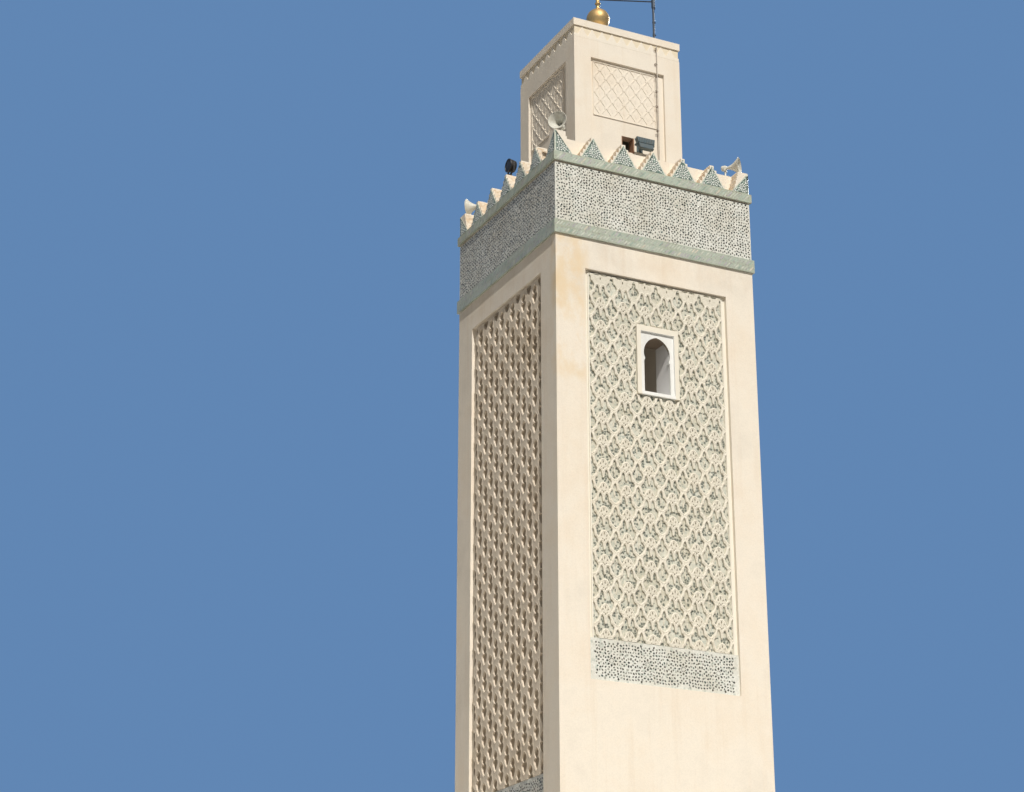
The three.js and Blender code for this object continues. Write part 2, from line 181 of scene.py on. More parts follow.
# How far inside a low and a high bound a value lies, from 0 to 1 over a soft edge
def buildBandGroup():
    tree, given, out = newTree("ShaderNodeTree", "withinBand", [
        ("At", "value", 0.0), ("Low", "value", 0.0), ("High", "value", 1.0), ("Soft", "value", 0.01)],
        [("Inside", "value")])
    shares = []
    for first, second in (("At", "Low"), ("High", "At")):
        gap = calculate(tree, "SUBTRACT", given.outputs[first], given.outputs[second])
        share = calculate(tree, "DIVIDE", gap, given.outputs["Soft"])
        share.node.use_clamp = True
        shares.append(share)
    feed(tree, calculate(tree, "MULTIPLY", *shares), out.inputs["Inside"])
    return tree


# Lime plaster: cloudy tone, rain streaks and ochre stains, with trowel marks in the height
def buildPlasterGroup():
    tree, given, out = newTree("ShaderNodeTree", "limePlaster", [
        ("Coordinates", "vector"), ("Plaster", "colour", (0.8, 0.72, 0.6, 1)),
        ("Stain", "colour", (0.62, 0.44, 0.26, 1)), ("Stain Amount", "value", 0.4),
        ("Streak Amount", "value", 0.4), ("Grain", "value", 1.0)],
        [("Colour", "colour"), ("Height", "value")])
    at = given.outputs["Coordinates"]
    cloud = noiseOf(tree, at, {"Scale": 0.55, "Detail": 6, "Roughness": 0.62})
    upright = mappedFrom(tree, at, {"Scale": (3.2, 3.2, 0.22)})
    streak = noiseOf(tree, upright, {"Scale": 1.3, "Detail": 5, "Roughness": 0.6})
    fine = noiseOf(tree, at, {"Scale": 38.0, "Detail": 4, "Roughness": 0.7})
    trowel = noiseOf(tree, at, {"Scale": 5.5, "Detail": 3, "Roughness": 0.55, "Distortion": 0.8})
    cloudy = greyRamp(tree, cloud, (0.30, 0.90), (0.52, 1.0), (0.75, 1.05))
    tone = mixColour(tree, "MULTIPLY", 1.0, given.outputs["Plaster"], cloudy)
    for source, low, high, amount in (
            (cloud, 0.50, 0.72, "Stain Amount"), (streak, 0.52, 0.78, "Streak Amount")):
        share = greyRamp(tree, source, (low, 0.0), (high, 1.0))
        share = calculate(tree, "MULTIPLY", share, given.outputs[amount])
        tone = mixColour(tree, "MIX", share, tone, given.outputs["Stain"])
    tone = mixColour(tree, "MULTIPLY", 1.0, tone, greyRamp(tree, fine, (0.25, 0.93), (0.6, 1.02)))
    feed(tree, tone, out.inputs["Colour"])
    height = calculate(tree, "ADD", calculate(tree, "MULTIPLY", fine, 0.35), trowel)
    feed(tree, calculate(tree, "MULTIPLY", height, given.outputs["Grain"]), out.inputs["Height"])
    return tree


# Small set tiles: one tone a tile from a Voronoi, pale grout between them
def buildTileGroup():
    tree, given, out = newTree("ShaderNodeTree", "setTiles", [
        ("Coordinates", "vector"), ("Tiles Per Metre", "value", 16.0),
        ("Grout", "colour", (0.6, 0.57, 0.5, 1)), ("First", "colour", (0.7, 0.7, 0.62, 1)),
        ("Second", "colour", (0.45, 0.55, 0.5, 1)), ("Third", "colour", (0.2, 0.26, 0.22, 1)),
        ("Dark Share", "value", 0.3)], [("Colour", "colour"), ("Height", "value")])
    at = given.outputs["Coordinates"]
    cells = addNode(tree, "ShaderNodeTexVoronoi", feature="F1")
    joints = addNode(tree, "ShaderNodeTexVoronoi", feature="DISTANCE_TO_EDGE")
    for pattern in (cells, joints):
        setInputs(tree, pattern, {
            "Vector": at, "Scale": given.outputs["Tiles Per Metre"], "Randomness": 0.55})
    split = addNode(tree, "ShaderNodeSeparateColor")
    feed(tree, cells.outputs["Color"], split.inputs[0])
    paler = mixColour(tree, "MIX", split.outputs[0], given.outputs["First"], given.outputs["Second"])
    dark = calculate(tree, "LESS_THAN", split.outputs[1], given.outputs["Dark Share"])
    tone = mixColour(tree, "MIX", dark, paler, given.outputs["Third"])
    tile = greyRamp(tree, joints.outputs["Distance"], (0.03, 0.0), (0.09, 1.0))
    tone = mixColour(tree, "MIX", tile, given.outputs["Grout"], tone)
    grime = noiseOf(tree, at, {"Scale": 1.1, "Detail": 5, "Roughness": 0.6})
    grimy = rampOf(tree, grime, [(0.3, (0.84, 0.80, 0.74)), (0.6, (1.0, 1.0, 1.0))])
    feed(tree, mixColour(tree, "MULTIPLY", 1.0, tone, grimy), out.inputs["Colour"])
    feed(tree, tile, out.inputs["Height"])
    return tree


# Paint or metal that has stood outside: worn, dull patches, and fine dust in the height
def buildWearGroup():
    tree, given, out = newTree("ShaderNodeTree", "outdoorWear", [
        ("Coordinates", "vector"), ("Clean", "colour", (0.5, 0.5, 0.5, 1)),
        ("Worn", "colour", (0.3, 0.25, 0.2, 1)), ("Worn Share", "value", 0.4), ("Patch Scale", "value", 9.0)],
        [("Colour", "colour"), ("Roughness", "value"), ("Height", "value")])
    at = given.outputs["Coordinates"]
    patch = noiseOf(tree, at, {"Scale": given.outputs["Patch Scale"], "Detail": 7, "Roughness": 0.66})
    dust = noiseOf(tree, at, {"Scale": 60.0, "Detail": 3})
    worn = greyRamp(tree, patch, (0.42, 0.0), (0.66, 1.0))
    share = calculate(tree, "MULTIPLY", worn, given.outputs["Worn Share"])
    tone = mixColour(tree, "MIX", share, given.outputs["Clean"], given.outputs["Worn"])
    feed(tree, tone, out.inputs["Colour"])
    feed(tree, greyRamp(tree, patch, (0.3, 0.32), (0.7, 0.62)), out.inputs["Roughness"])
    feed(tree, dust, out.inputs["Height"])
    return tree


bandGroup = buildBandGroup()
plasterGroup = buildPlasterGroup()
tileGroup = buildTileGroup()
wearGroup = buildWearGroup()


def newMaterial(name):
    material = bpy.data.materials.new(name)
    material.use_nodes = True
    tree = material.node_tree
    where = addNode(tree, "ShaderNodeTexCoord")
    return material, tree, tree.nodes["Principled BSDF"], where.outputs["Object"]


def useGroup(tree, group, at, values):
    made = addNode(tree, "ShaderNodeGroup", node_tree=group)
    setInputs(tree, made, {"Coordinates": at, **values})
    return made.outputs


def bumpInto(tree, shader, height, strength, depth):
    bump = addNode(tree, "ShaderNodeBump")
    setInputs(tree, bump, {"Strength": strength, "Distance": depth, "Height": height})
    feed(tree, bump.outputs[0], shader.inputs["Normal"])


# The share of the surface inside a box. Each bound is on x, y or z, on "sizeX", which is x without its sign,
# or on "edge" and "inner", the larger and the smaller of x and y without sign.
def boxShare(tree, at, bounds, soft):
    x, y, z = splitOf(tree, at)
    share = 1.0
    for axis, low, high in bounds:
        if axis in ("x", "y", "z"):
            value = {"x": x, "y": y, "z": z}[axis]
        elif axis == "sizeX":
            value = calculate(tree, "ABSOLUTE", x)
        else:
            kind = "MAXIMUM" if axis == "edge" else "MINIMUM"
            value = calculate(tree, kind, calculate(tree, "ABSOLUTE", x), calculate(tree, "ABSOLUTE", y))
        inside = addNode(tree, "ShaderNodeGroup", node_tree=bandGroup)
        setInputs(tree, inside, {"At": value, "Low": low, "High": high, "Soft": soft})
        share = calculate(tree, "MULTIPLY", inside.outputs[0], share)
    return share


def tileLook(look):
    perMetre, grout, first, second, third, darkShare = look
    return {"Tiles Per Metre": perMetre, "Grout": (*grout, 1), "First": (*first, 1), "Second": (*second, 1),
            "Third": (*third, 1), "Dark Share": darkShare}


# Stains, washes, tiles and painted shade laid over a colour, each in its own box
def withPatches(tree, at, colour, patches, soft):
    for patch in patches:
        share = boxShare(tree, at, patch["bounds"], patch.get("soft", soft))
        if "streaks" in patch:
            shift = patch.get("shift", (0.0, 0.0, 0.0))
            wash = mappedFrom(tree, at, {"Scale": patch["streaks"], "Location": shift})
            cloud = noiseOf(tree, wash, {"Scale": 1.0, "Detail": 5, "Roughness": 0.62})
            low, high = patch.get("spread", (0.40, 0.64))
            share = calculate(tree, "MULTIPLY", share, greyRamp(tree, cloud, (low, 0.0), (high, 1.0)))
        # the facing masks carry painted shade, on undersides and on upright step faces
        if "facing" in patch:                # only on upright faces, or only on undersides
            up = splitOf(tree, addNode(tree, "ShaderNodeNewGeometry").outputs["Normal"])[2]
            if patch["facing"] == "side":
                level = calculate(tree, "SUBTRACT", 1.0, calculate(tree, "ABSOLUTE", up))
            else:
                down = calculate(tree, "MULTIPLY", up, -2.0)
                level = calculate(tree, "MINIMUM", 1.0, calculate(tree, "MAXIMUM", 0.0, down))
            share = calculate(tree, "MULTIPLY", share, level)
        share = calculate(tree, "MULTIPLY", share, patch.get("amount", 1.0))
        if "tiles" in patch:
            over = useGroup(tree, tileGroup, at, tileLook(patch["tiles"]))["Colour"]
        else:
            over = (*patch["colour"], 1)
        colour = mixColour(tree, "MIX", share, colour, over)
    return colour


def plasterMaterial(look, patches=()):
    name, plaster, stain, stainAmount, streakAmount, grain, depth = look
    material, tree, shader, at = newMaterial(name)
    given = useGroup(tree, plasterGroup, at, {
        "Plaster": (*plaster, 1), "Stain": (*stain, 1), "Stain Amount": stainAmount,
        "Streak Amount": streakAmount, "Grain": grain})
    colour = withPatches(tree, at, given["Colour"], patches, soft=0.012)
    setInputs(tree, shader, {"Base Color": colour, "Roughness": 0.88, "Specular IOR Level": 0.25})
    bumpInto(tree, shader, given["Height"], strength=0.5, depth=depth)
    return material


# Tiles, with plaster or other tiles in their place where a border runs
def tileMaterial(look, patches=()):
    name, tiles, roughness = look
    material, tree, shader, at = newMaterial(name)
    given = useGroup(tree, tileGroup, at, tileLook(tileLooks[tiles]))
    colour = withPatches(tree, at, given["Colour"], patches, soft=0.004)
    setInputs(tree, shader, {"Base Color": colour, "Roughness": roughness})
    bumpInto(tree, shader, given["Height"], strength=0.5, depth=0.003)
    return material


def wornMaterial(look):
    name, clean, worn, share, scale, metallic = look
    material, tree, shader, at = newMaterial(name)
    given = useGroup(tree, wearGroup, at, {
        "Clean": (*clean, 1), "Worn": (*worn, 1), "Worn Share": share, "Patch Scale": scale})
    setInputs(tree, shader, {
        "Base Color": given["Colour"], "Roughness": given["Roughness"], "Metallic": metallic})
    bumpInto(tree, shader, given["Height"], strength=0.3, depth=0.0008)
    return material


# Glazed chips: each chip has a tone of its own, kept in the attribute that the node tree stores
def chipMaterial(name, stops):
    material, tree, shader, at = newMaterial(name)
    tone = addNode(tree, "ShaderNodeAttribute", attribute_name="tone")
    cloud = noiseOf(tree, at, {"Scale": 9.0, "Detail": 4})
    glaze = rampOf(tree, tone.outputs["Fac"], stops, "CONSTANT")
    colour = mixColour(tree, "MULTIPLY", 1.0, glaze, greyRamp(tree, cloud, (0.3, 0.78), (0.7, 1.12)))
    setInputs(tree, shader, {
        "Base Color": colour, "Roughness": 0.3, "Coat Weight": 0.25, "Coat Roughness": 0.2})
    bumpInto(tree, shader, cloud, strength=0.2, depth=0.001)
    return material


limeWash = (0.855, 0.79, 0.69)
carvedCream = (0.86, 0.82, 0.72)
filletCream = (0.82, 0.75, 0.64)
frameCream = (0.83, 0.785, 0.68)
oldStain = (0.62, 0.46, 0.29)
warmStainAndShade = (0.56, 0.38, 0.20)
# warm brown: a stain under the band, and partly painted shade on the teeth's step risers
paleOchre = (0.78, 0.62, 0.41)
windowReveal = [("sizeX", -0.1, 0.44), ("edge", 1.9, 2.742), ("z", 19.9, 21.45)]
tileLooks = {     # tiles a metre, grout, first and second glaze, dark glaze, share of dark tiles
    "net": (17.0, (0.68, 0.665, 0.57), (0.76, 0.75, 0.66), (0.46, 0.50, 0.44), (0.19, 0.21, 0.18), 0.33),
    "band": (19.0, (0.72, 0.725, 0.67), (0.85, 0.85, 0.80), (0.75, 0.77, 0.715), (0.60, 0.64, 0.59), 0.12),
    "border": (26.0, (0.50, 0.50, 0.43), (0.47, 0.53, 0.44), (0.40, 0.48, 0.40), (0.35, 0.35, 0.33), 0.12),
    "merlon": (30.0, (0.30, 0.35, 0.30), (0.19, 0.26, 0.225), (0.11, 0.18, 0.155), (0.05, 0.085, 0.08), 0.3),
    "frame": (26.0, (0.66, 0.69, 0.62), (0.66, 0.71, 0.63), (0.53, 0.61, 0.53), (0.40, 0.46, 0.40), 0.10),
}
plasterFinishes = {     # name, plaster, stain, share of stains and of streaks, grain and its depth in metres
    "plaster": ("limewashedPlaster", limeWash, oldStain, 0.26, 0.20, 1.0, 0.006),
    "parapet": ("parapetPlaster", limeWash, (0.62, 0.44, 0.26), 0.34, 0.25, 1.0, 0.006),
    "carved": ("carvedPlaster", carvedCream, (0.56, 0.47, 0.33), 0.26, 0.18, 1.0, 0.009),
    "stucco": ("carvedStucco", (0.79, 0.70, 0.58), (0.42, 0.33, 0.22), 0.5, 0.30, 1.5, 0.012),
    "frieze": ("friezePlaster", (0.86, 0.80, 0.70), oldStain, 0.2, 0.2, 0.8, 0.005),
    "white": ("whitewash", (0.86, 0.865, 0.845), (0.60, 0.57, 0.50), 0.2, 0.2, 0.5, 0.003),
    "concrete": ("dustyConcrete", (0.42, 0.38, 0.32), (0.25, 0.21, 0.16), 0.5, 0.1, 1.4, 0.008),
    # painted shade: the ground behind the side nets is dark brown, for the shade in their openings
    "sideGroundPaintedShade": ("paintedShadeStucco", (0.40, 0.335, 0.25), (0.24, 0.18, 0.12), 0.4, 0.3, 0.9, 0.006),
    "timber": ("oldTimber", (0.16, 0.075, 0.03), (0.06, 0.03, 0.015), 0.4, 0.9, 0.8, 0.004),
}
tileFinishes = {     # name, look of the tiles, roughness
    "netGround": ("tileBehindNet", "net", 0.38),
    "bandGround": ("paleTileField", "band", 0.3),
    "merlonFrame": ("paleTileFrame", "frame", 0.34),
    "merlonGround": ("darkTileField", "merlon", 0.3),
}
patchesOn = {     # box in metres, softness of its edge, stretch of a wash, what lies there, how strongly
    "plaster": [
        {"bounds": [("x", -3.05, -1.80), ("y", -3.1, -2.4), ("z", 19.8, 23.90)], "soft": 0.28,
         "spread": (0.45, 0.62), "streaks": (1.7, 1.7, 1.05), "shift": (3.1, 0.0, 7.7),
         "colour": paleOchre, "amount": 0.62},
        {"bounds": [("x", -3.05, -1.85), ("y", -3.1, -2.4), ("z", 21.6, 23.90)], "soft": 0.28,
         "spread": (0.46, 0.62), "streaks": (2.6, 2.6, 1.9), "shift": (11.3, 0.0, 2.9),
         "colour": paleOchre, "amount": 0.62},
        {"bounds": windowReveal, "colour": (0.86, 0.86, 0.86)},
        # painted shade: the undersides in the window opening are painted dark brown
        {"bounds": windowReveal, "facing": "down", "colour": (0.17, 0.12, 0.075), "amount": 0.95},
        {"bounds": [("edge", 2.60, 2.9), ("z", 22.95, 23.66)], "soft": 0.2, "streaks": (3.2, 3.2, 1.6),
         "colour": warmStainAndShade, "amount": 0.22},
        # painted shade: the small hole in the lantern's front is painted dark brown inside
        {"bounds": [("sizeX", -0.1, 0.19), ("y", -1.545, -1.2), ("z", 26.95, 27.39)], "soft": 0.01,
         "colour": (0.34, 0.17, 0.09), "amount": 0.9}],
    "parapet": [
        # brown on the teeth's upright faces: partly stain, partly painted shade on the step risers
        {"bounds": [("edge", 2.466, 2.742), ("z", 25.80, 26.34)], "soft": 0.01, "facing": "side",
         "streaks": (9.0, 9.0, 9.0), "colour": warmStainAndShade, "amount": 0.7},
        {"bounds": [("edge", 2.744, 2.9), ("z", 25.50, 25.768)], "soft": 0.002,
         "tiles": tileLooks["border"]}],
    "carved": [
        # painted shade by depth: all of the front net behind its ridge crests is darkened, so the crests read
        # lighter
        {"bounds": [("edge", 2.60, 2.6965)], "soft": 0.0025, "colour": (0.66, 0.625, 0.53), "amount": 0.55},
        # mottled darker specks: partly weathering, partly painted shadow of fine carving
        {"bounds": [("edge", 2.60, 2.9)], "streaks": (21.0, 21.0, 21.0), "spread": (0.53, 0.60),
         "colour": (0.50, 0.46, 0.36), "amount": 0.45}],
    "frieze": [
        {"bounds": [("edge", 1.40, 1.5375), ("z", 30.02, 30.30)], "soft": 0.001, "colour": (0.76, 0.65, 0.46),
         "amount": 0.6}],
    "white": [
        # painted shade: the underside of the window's arch is painted dark brown
        {"bounds": [("sizeX", -0.1, 0.36), ("edge", 2.58, 2.66), ("z", 20.9, 21.42)], "facing": "down",
         "colour": (0.20, 0.145, 0.09), "amount": 0.9},
        {"bounds": [("sizeX", 0.457, 0.60)], "soft": 0.004, "colour": frameCream},
        {"bounds": [("z", 21.497, 21.70)], "soft": 0.004, "colour": frameCream}],
    "sideGroundPaintedShade": [
        {"bounds": [("inner", 1.830, 2.1)], "colour": filletCream},
        {"bounds": [("z", 22.828, 23.0)], "colour": filletCream}],
    "netGround": [
        {"bounds": [("inner", 1.830, 2.1)], "colour": carvedCream},
        {"bounds": [("z", 22.775, 23.0)], "colour": carvedCream}],
    "bandGround": [
        {"bounds": [("z", 23.5, 23.943)], "tiles": tileLooks["border"]}],
}
wornFinishes = {     # name, clean and worn colour, share worn, patches a metre, metallic
    "brass": ("weatheredBrass", (0.76, 0.51, 0.21), (0.42, 0.26, 0.12), 0.6, 4.5, 0.8),
    "darkMetal": ("darkIron", (0.05, 0.07, 0.095), (0.11, 0.09, 0.075), 0.35, 12.0, 0.3),
    "blackPaint": ("blackPaint", (0.025, 0.026, 0.03), (0.06, 0.05, 0.04), 0.4, 9.0, 0.1),
    "hornPaint": ("hornPaint", (0.66, 0.66, 0.60), (0.40, 0.35, 0.25), 0.45, 7.0, 0.0),
    "hornInside": ("hornInside", (0.27, 0.25, 0.115), (0.15, 0.13, 0.05), 0.6, 6.0, 0.0),
    "cableSheath": ("cableSheath", (0.52, 0.46, 0.39), (0.30, 0.26, 0.21), 0.6, 9.0, 0.0),
    "lampPaint": ("lampPaint", (0.095, 0.135, 0.15), (0.14, 0.13, 0.11), 0.5, 9.0, 0.1),
    "lampGlass": ("lampGlass", (0.20, 0.215, 0.21), (0.27, 0.25, 0.21), 0.5, 5.0, 0.0),
    "rustyTin": ("rustyTin", (0.12, 0.085, 0.055), (0.20, 0.11, 0.06), 0.7, 11.0, 0.0),
}
chipFinishes = {     # name, and from which tone on a chip has which colour
    "bandChips": ("darkGlazedChips", [
        (0.0, (0.045, 0.047, 0.035)), (0.26, (0.10, 0.088, 0.062)), (0.44, (0.075, 0.11, 0.09)),
        (0.50, (0.19, 0.19, 0.165)), (0.66, (0.42, 0.42, 0.37))]),
    "strokeChips": ("paleGlazedStrokes", [
        (0.0, (0.56, 0.59, 0.51)), (0.28, (0.44, 0.51, 0.44)), (0.52, (0.33, 0.42, 0.36)),
        (0.62, (0.50, 0.53, 0.47)), (0.84, (0.47, 0.45, 0.47)), (0.94, (0.62, 0.58, 0.48))]),
    "merlonChips": ("merlonGlazedChips", [
        (0.0, (0.86, 0.88, 0.84)), (0.50, (0.76, 0.81, 0.75)), (0.72, (0.52, 0.64, 0.56)),
        (0.90, (0.14, 0.23, 0.19))]),
}
finish = {key: plasterMaterial(look, patchesOn.get(key, ())) for key, look in plasterFinishes.items()}
finish.update({key: tileMaterial(look, patchesOn.get(key, ())) for key, look in tileFinishes.items()})
finish.update({key: wornMaterial(look) for key, look in wornFinishes.items()})
finish.update({key: chipMaterial(*look) for key, look in chipFinishes.items()})
print("finishes made,", len(finish))


# mesh helpers
def newPiece(name, mesh, looks):
    made = linked(name, mesh)
    mesh.materials.clear()
    for key in looks:
        mesh.materials.append(finish[key])
    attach(made, "root")
    return made


def plainMesh(name, form):
    mesh = bpy.data.meshes.new(name)
    form.to_mesh(mesh)
    form.free()
    return mesh


def meshOf(name, form):
    bmesh.ops.remove_doubles(form, verts=form.verts, dist=within["weld"])
    bmesh.ops.recalc_face_normals(form, faces=form.faces)
    return plainMesh(name, form)


# The front's mesh carried to each side, as a piece of its own named after the side
def setOnSides(pattern, mesh, look, among=tuple(sides)):
    for side in among:
        name = pattern.format(side)
        copy = mesh.copy()
        copy.name = name
        copy.transform(turnBy(sides[side], "Z"))
        newPiece(name, copy, [look])


def moveBy(x, y, z):
    return Matrix.Translation((x, y, z))


def turnBy(degrees, axis):
    return Matrix.Rotation(math.radians(degrees), 4, axis)


still = Matrix.Identity(4)


def insideOutline(x, z, outline):
    inside = False
    last = outline[-1]
    for point in outline:
        if (point[1] > z) != (last[1] > z):
            cross = (last[0] - point[0]) * (z - point[1]) / (last[1] - point[1]) + point[0]
            if x < cross:
                inside = not inside
        last = point
    return inside


def outlineArea(outline):
    return sum(a[0] * b[1] - b[0] * a[1] for a, b in zip(outline, outline[1:] + outline[:1])) / 2


def anticlockwise(outline):
    return outline if outlineArea(outline) >= 0 else list(reversed(outline))


# An outline grown outwards by a small step, corner by corner
def grown(outline, step):
    turn = 1 if outlineArea(outline) > 0 else -1
    sharpest = 0.45         # a sharper corner doesn't move further out
    result = []
    count = len(outline)
    for i in range(count):
        before, here, after = (Vector(outline[(i + k) % count]) for k in (-1, 0, 1))
        first = (here - before).normalized()
        second = (after - here).normalized()
        firstOut = Vector((first.y, -first.x)) * turn
        secondOut = Vector((second.y, -second.x)) * turn
        both = firstOut + secondOut
        both = both.normalized() if both.length > within["zero"] else firstOut
        reach = step / max(sharpest, both.dot(firstOut))
        result.append(tuple(here + both * reach))
    return result


def mirrored(half):
    return half + [(-x, z) for x, z in reversed(half) if abs(x) > within["zero"]]


def moved(outline, x, z):
    return [(at + x, height + z) for at, height in outline]


def lozenge(x, z, wide, tall):
    corners = [(1, 0), (0.6, 0.7), (0, 1), (-0.6, 0.7), (-1, 0), (-0.6, -0.7), (0, -1), (0.6, -0.7)]
    return [(x + wide * c, z + tall * s) for c, s in corners]


def rectangle(left, right, low, high):
    return [(left, low), (right, low), (right, high), (left, high)]


# Vertices along an outline of the xz plane, at the depth y
def loopAt(form, outline, y):
    return [form.verts.new((x, y, z)) for x, z in outline]


def joinLoops(form, loops):
    for near, far in zip(loops, loops[1:]):
        for i in range(len(near)):
            after = (i + 1) % len(near)
            form.faces.new((near[i], near[after], far[after], far[i]))


def closeEnds(form, first, last):
    form.faces.new(first)
    form.faces.new(list(reversed(last)))


# Cuts a form along planes, each given by its axis, its place and the side it faces, and can clear that side
def cutAlong(form, planes, clear):
    for axis, bound, sign in planes:
        place, normal = Vector((0, 0, 0)), Vector((0, 0, 0))
        place[axis] = bound
        normal[axis] = sign
        geometry = form.verts[:] + form.edges[:] + form.faces[:]
        bmesh.ops.bisect_plane(
            form, geom=geometry, plane_co=place, plane_no=normal, clear_outer=clear, dist=within["cut"])


# A low ridge along a closed line in the xz plane, its crest towards -Y
def addRidge(form, line, halfWide, rise, foot):
    outline = anticlockwise(line)
    loops = [loopAt(form, ring, y) for ring, y in (
        (grown(outline, -halfWide), foot), (outline, foot - rise), (grown(outline, halfWide), foot))]
    joinLoops(form, loops + loops[:1])


# A flat shape in the xz plane given thickness towards -Y, its front edge chamfered
def prism(form, shape, back, front, chamfer):
    outline = anticlockwise(shape)
    loops = [loopAt(form, ring, y) for ring, y in (
        (outline, back), (outline, front + chamfer), (grown(outline, -chamfer), front))]
    joinLoops(form, loops)
    closeEnds(form, loops[0], loops[-1])


# A flat chip with a bevelled edge, one long and one wide, standing one off the xz plane towards -Y
def chipUnit(name, outline):
    sunk, shoulder, narrower, lower = 0.2, -0.55, 0.84, 0.792
    form = bmesh.new()
    foot = loopAt(form, outline, sunk)
    rise = loopAt(form, outline, shoulder)
    crown = loopAt(form, [(x * narrower, z * lower) for x, z in outline], -1.0)
    joinLoops(form, [foot, rise, crown])
    closeEnds(form, crown, foot)
    return bpy.data.objects.new(name, meshOf(name, form))


# One cell of a pierced plate in the xz plane, from its top down to one row below 0, cut from a wider patch so
# that its edges meet the next cell's. Islands are small raised leaves inside the openings.
def piercedCell(name, sizes, holes, islands=(), top=0.0, rows=(-2, -1, 0, 1)):
    width, height, depth, bevel = (sizes[key] for key in ("columnPitch", "rowPitch", "plateDepth", "bevel"))
    form = bmesh.new()
    low, high = Vector((-1.5 * width, -2.0 * height)), Vector((1.5 * width, top + 1.0 * height))
    margin = 0.01

    def spread(outlines):
        result = []
        for column in (-2, -1, 0, 1, 2):
            for row in rows:
                for outline in outlines:
                    ring = anticlockwise(moved(outline, column * width, row * height))
                    if all(low.x + margin < x < high.x - margin and low.y + margin < z < high.y - margin
                           for x, z in ring):
                        result.append(ring)
        return result

    rings = spread(holes)

    def sheetFace(step, y):
        outlines = [grown(ring, step) for ring in rings]
        points = rectangle(low.x, high.x, low.y, high.y)
        edges = [(0, 1), (1, 2), (2, 3), (3, 0)]
        for outline in outlines:
            first = len(points)
            points += outline
            edges += [(first + i, first + (i + 1) % len(outline)) for i in range(len(outline))]
        verts, _, faces, *_ = delaunay_2d_cdt([Vector(p) for p in points], edges, [], 1, within["cut"])
        made = loopAt(form, verts, y)
        for face in faces:
            middle = sum((verts[i] for i in face), Vector((0, 0))) / len(face)
            if not any(insideOutline(middle.x, middle.y, outline) for outline in outlines):
                form.faces.new([made[i] for i in face])
        return outlines

    crown = sheetFace(bevel, 0.0)
    foot = sheetFace(0, depth)
    for upper, lower in zip(crown, foot):
        joinLoops(form, [loopAt(form, upper, 0.0), loopAt(form, lower, bevel), loopAt(form, lower, depth)])
    for leaf in spread(islands):
        drop = sizes["islandDrop"]
        loops = [loopAt(form, ring, y) for ring, y in (
            (grown(leaf, -bevel), drop), (leaf, drop + bevel), (leaf, depth))]
        joinLoops(form, loops)
        closeEnds(form, loops[0], loops[-1])
    bmesh.ops.remove_doubles(form, verts=form.verts, dist=within["weld"])
    bmesh.ops.recalc_face_normals(form, faces=form.faces)
    cutAlong(form, [(0, -width / 2, -1), (0, width / 2, 1), (2, top, 1), (2, -height, -1)], clear=True)
    return bpy.data.objects.new(name, plainMesh(name, form))


# node trees that set out what repeats
def copiesOn(tree, points, unit):
    source = addNode(tree, "GeometryNodeObjectInfo")
    feed(tree, unit, source.inputs["Object"])
    copies = addNode(tree, "GeometryNodeInstanceOnPoints")
    setInputs(tree, copies, {"Points": points, "Instance": source.outputs["Geometry"]})
    return copies


def madeReal(tree, copies):
    real = addNode(tree, "GeometryNodeRealizeInstances")
    feed(tree, copies.outputs[0], real.inputs[0])
    return real.outputs[0]


def dressInto(tree, mesh, look, target):
    dress = addNode(tree, "GeometryNodeSetMaterial")
    setInputs(tree, dress, {0: mesh, "Material": look})
    feed(tree, dress.outputs[0], target)


# Cells side by side and one above another, welded into one net
def buildNetTree():
    tree, given, out = newTree("GeometryNodeTree", "netOfCells", [
        ("Geometry", "geometry"), ("Cell", "object"), ("Columns", "whole"), ("Rows", "whole"),
        ("Column Pitch", "value"), ("Row Pitch", "value"), ("Finish", "material")],
        [("Geometry", "geometry")])
    grid = addNode(tree, "GeometryNodeMeshGrid")
    for count, pitch, size, number in (("Columns", "Column Pitch", "Size X", "Vertices X"),
                                       ("Rows", "Row Pitch", "Size Y", "Vertices Y")):
        steps = calculate(tree, "SUBTRACT", given.outputs[count], 1.0)
        feed(tree, calculate(tree, "MULTIPLY", steps, given.outputs[pitch]), grid.inputs[size])
        feed(tree, given.outputs[count], grid.inputs[number])
    stand = addNode(tree, "GeometryNodeTransform")
    setInputs(tree, stand, {0: grid.outputs[0], "Rotation": (math.radians(90), 0, 0)})
    copies = copiesOn(tree, stand.outputs[0], given.outputs["Cell"])
    weld = addNode(tree, "GeometryNodeMergeByDistance")
    setInputs(tree, weld, {0: madeReal(tree, copies), "Distance": within["netWeld"]})
    dressInto(tree, weld.outputs[0], given.outputs["Finish"], out.inputs[0])
    return tree


# A unit set on each point, turned and sized by the point's own attributes
def buildSettingTree():
    tree, given, out = newTree("GeometryNodeTree", "unitsOnPoints", [
        ("Geometry", "geometry"), ("Unit", "object"), ("Finish", "material")], [("Geometry", "geometry")])
    copies = copiesOn(tree, given.outputs["Geometry"], given.outputs["Unit"])
    for label, socket in (("turn", "Rotation"), ("size", "Scale")):
        named = addNode(tree, "GeometryNodeInputNamedAttribute", data_type="FLOAT_VECTOR")
        named.inputs["Name"].default_value = label
        feed(tree, named.outputs["Attribute"], copies.inputs[socket])
    dressInto(tree, madeReal(tree, copies), given.outputs["Finish"], out.inputs[0])
    return tree


netTree = buildNetTree()
settingTree = buildSettingTree()
print("trees made")


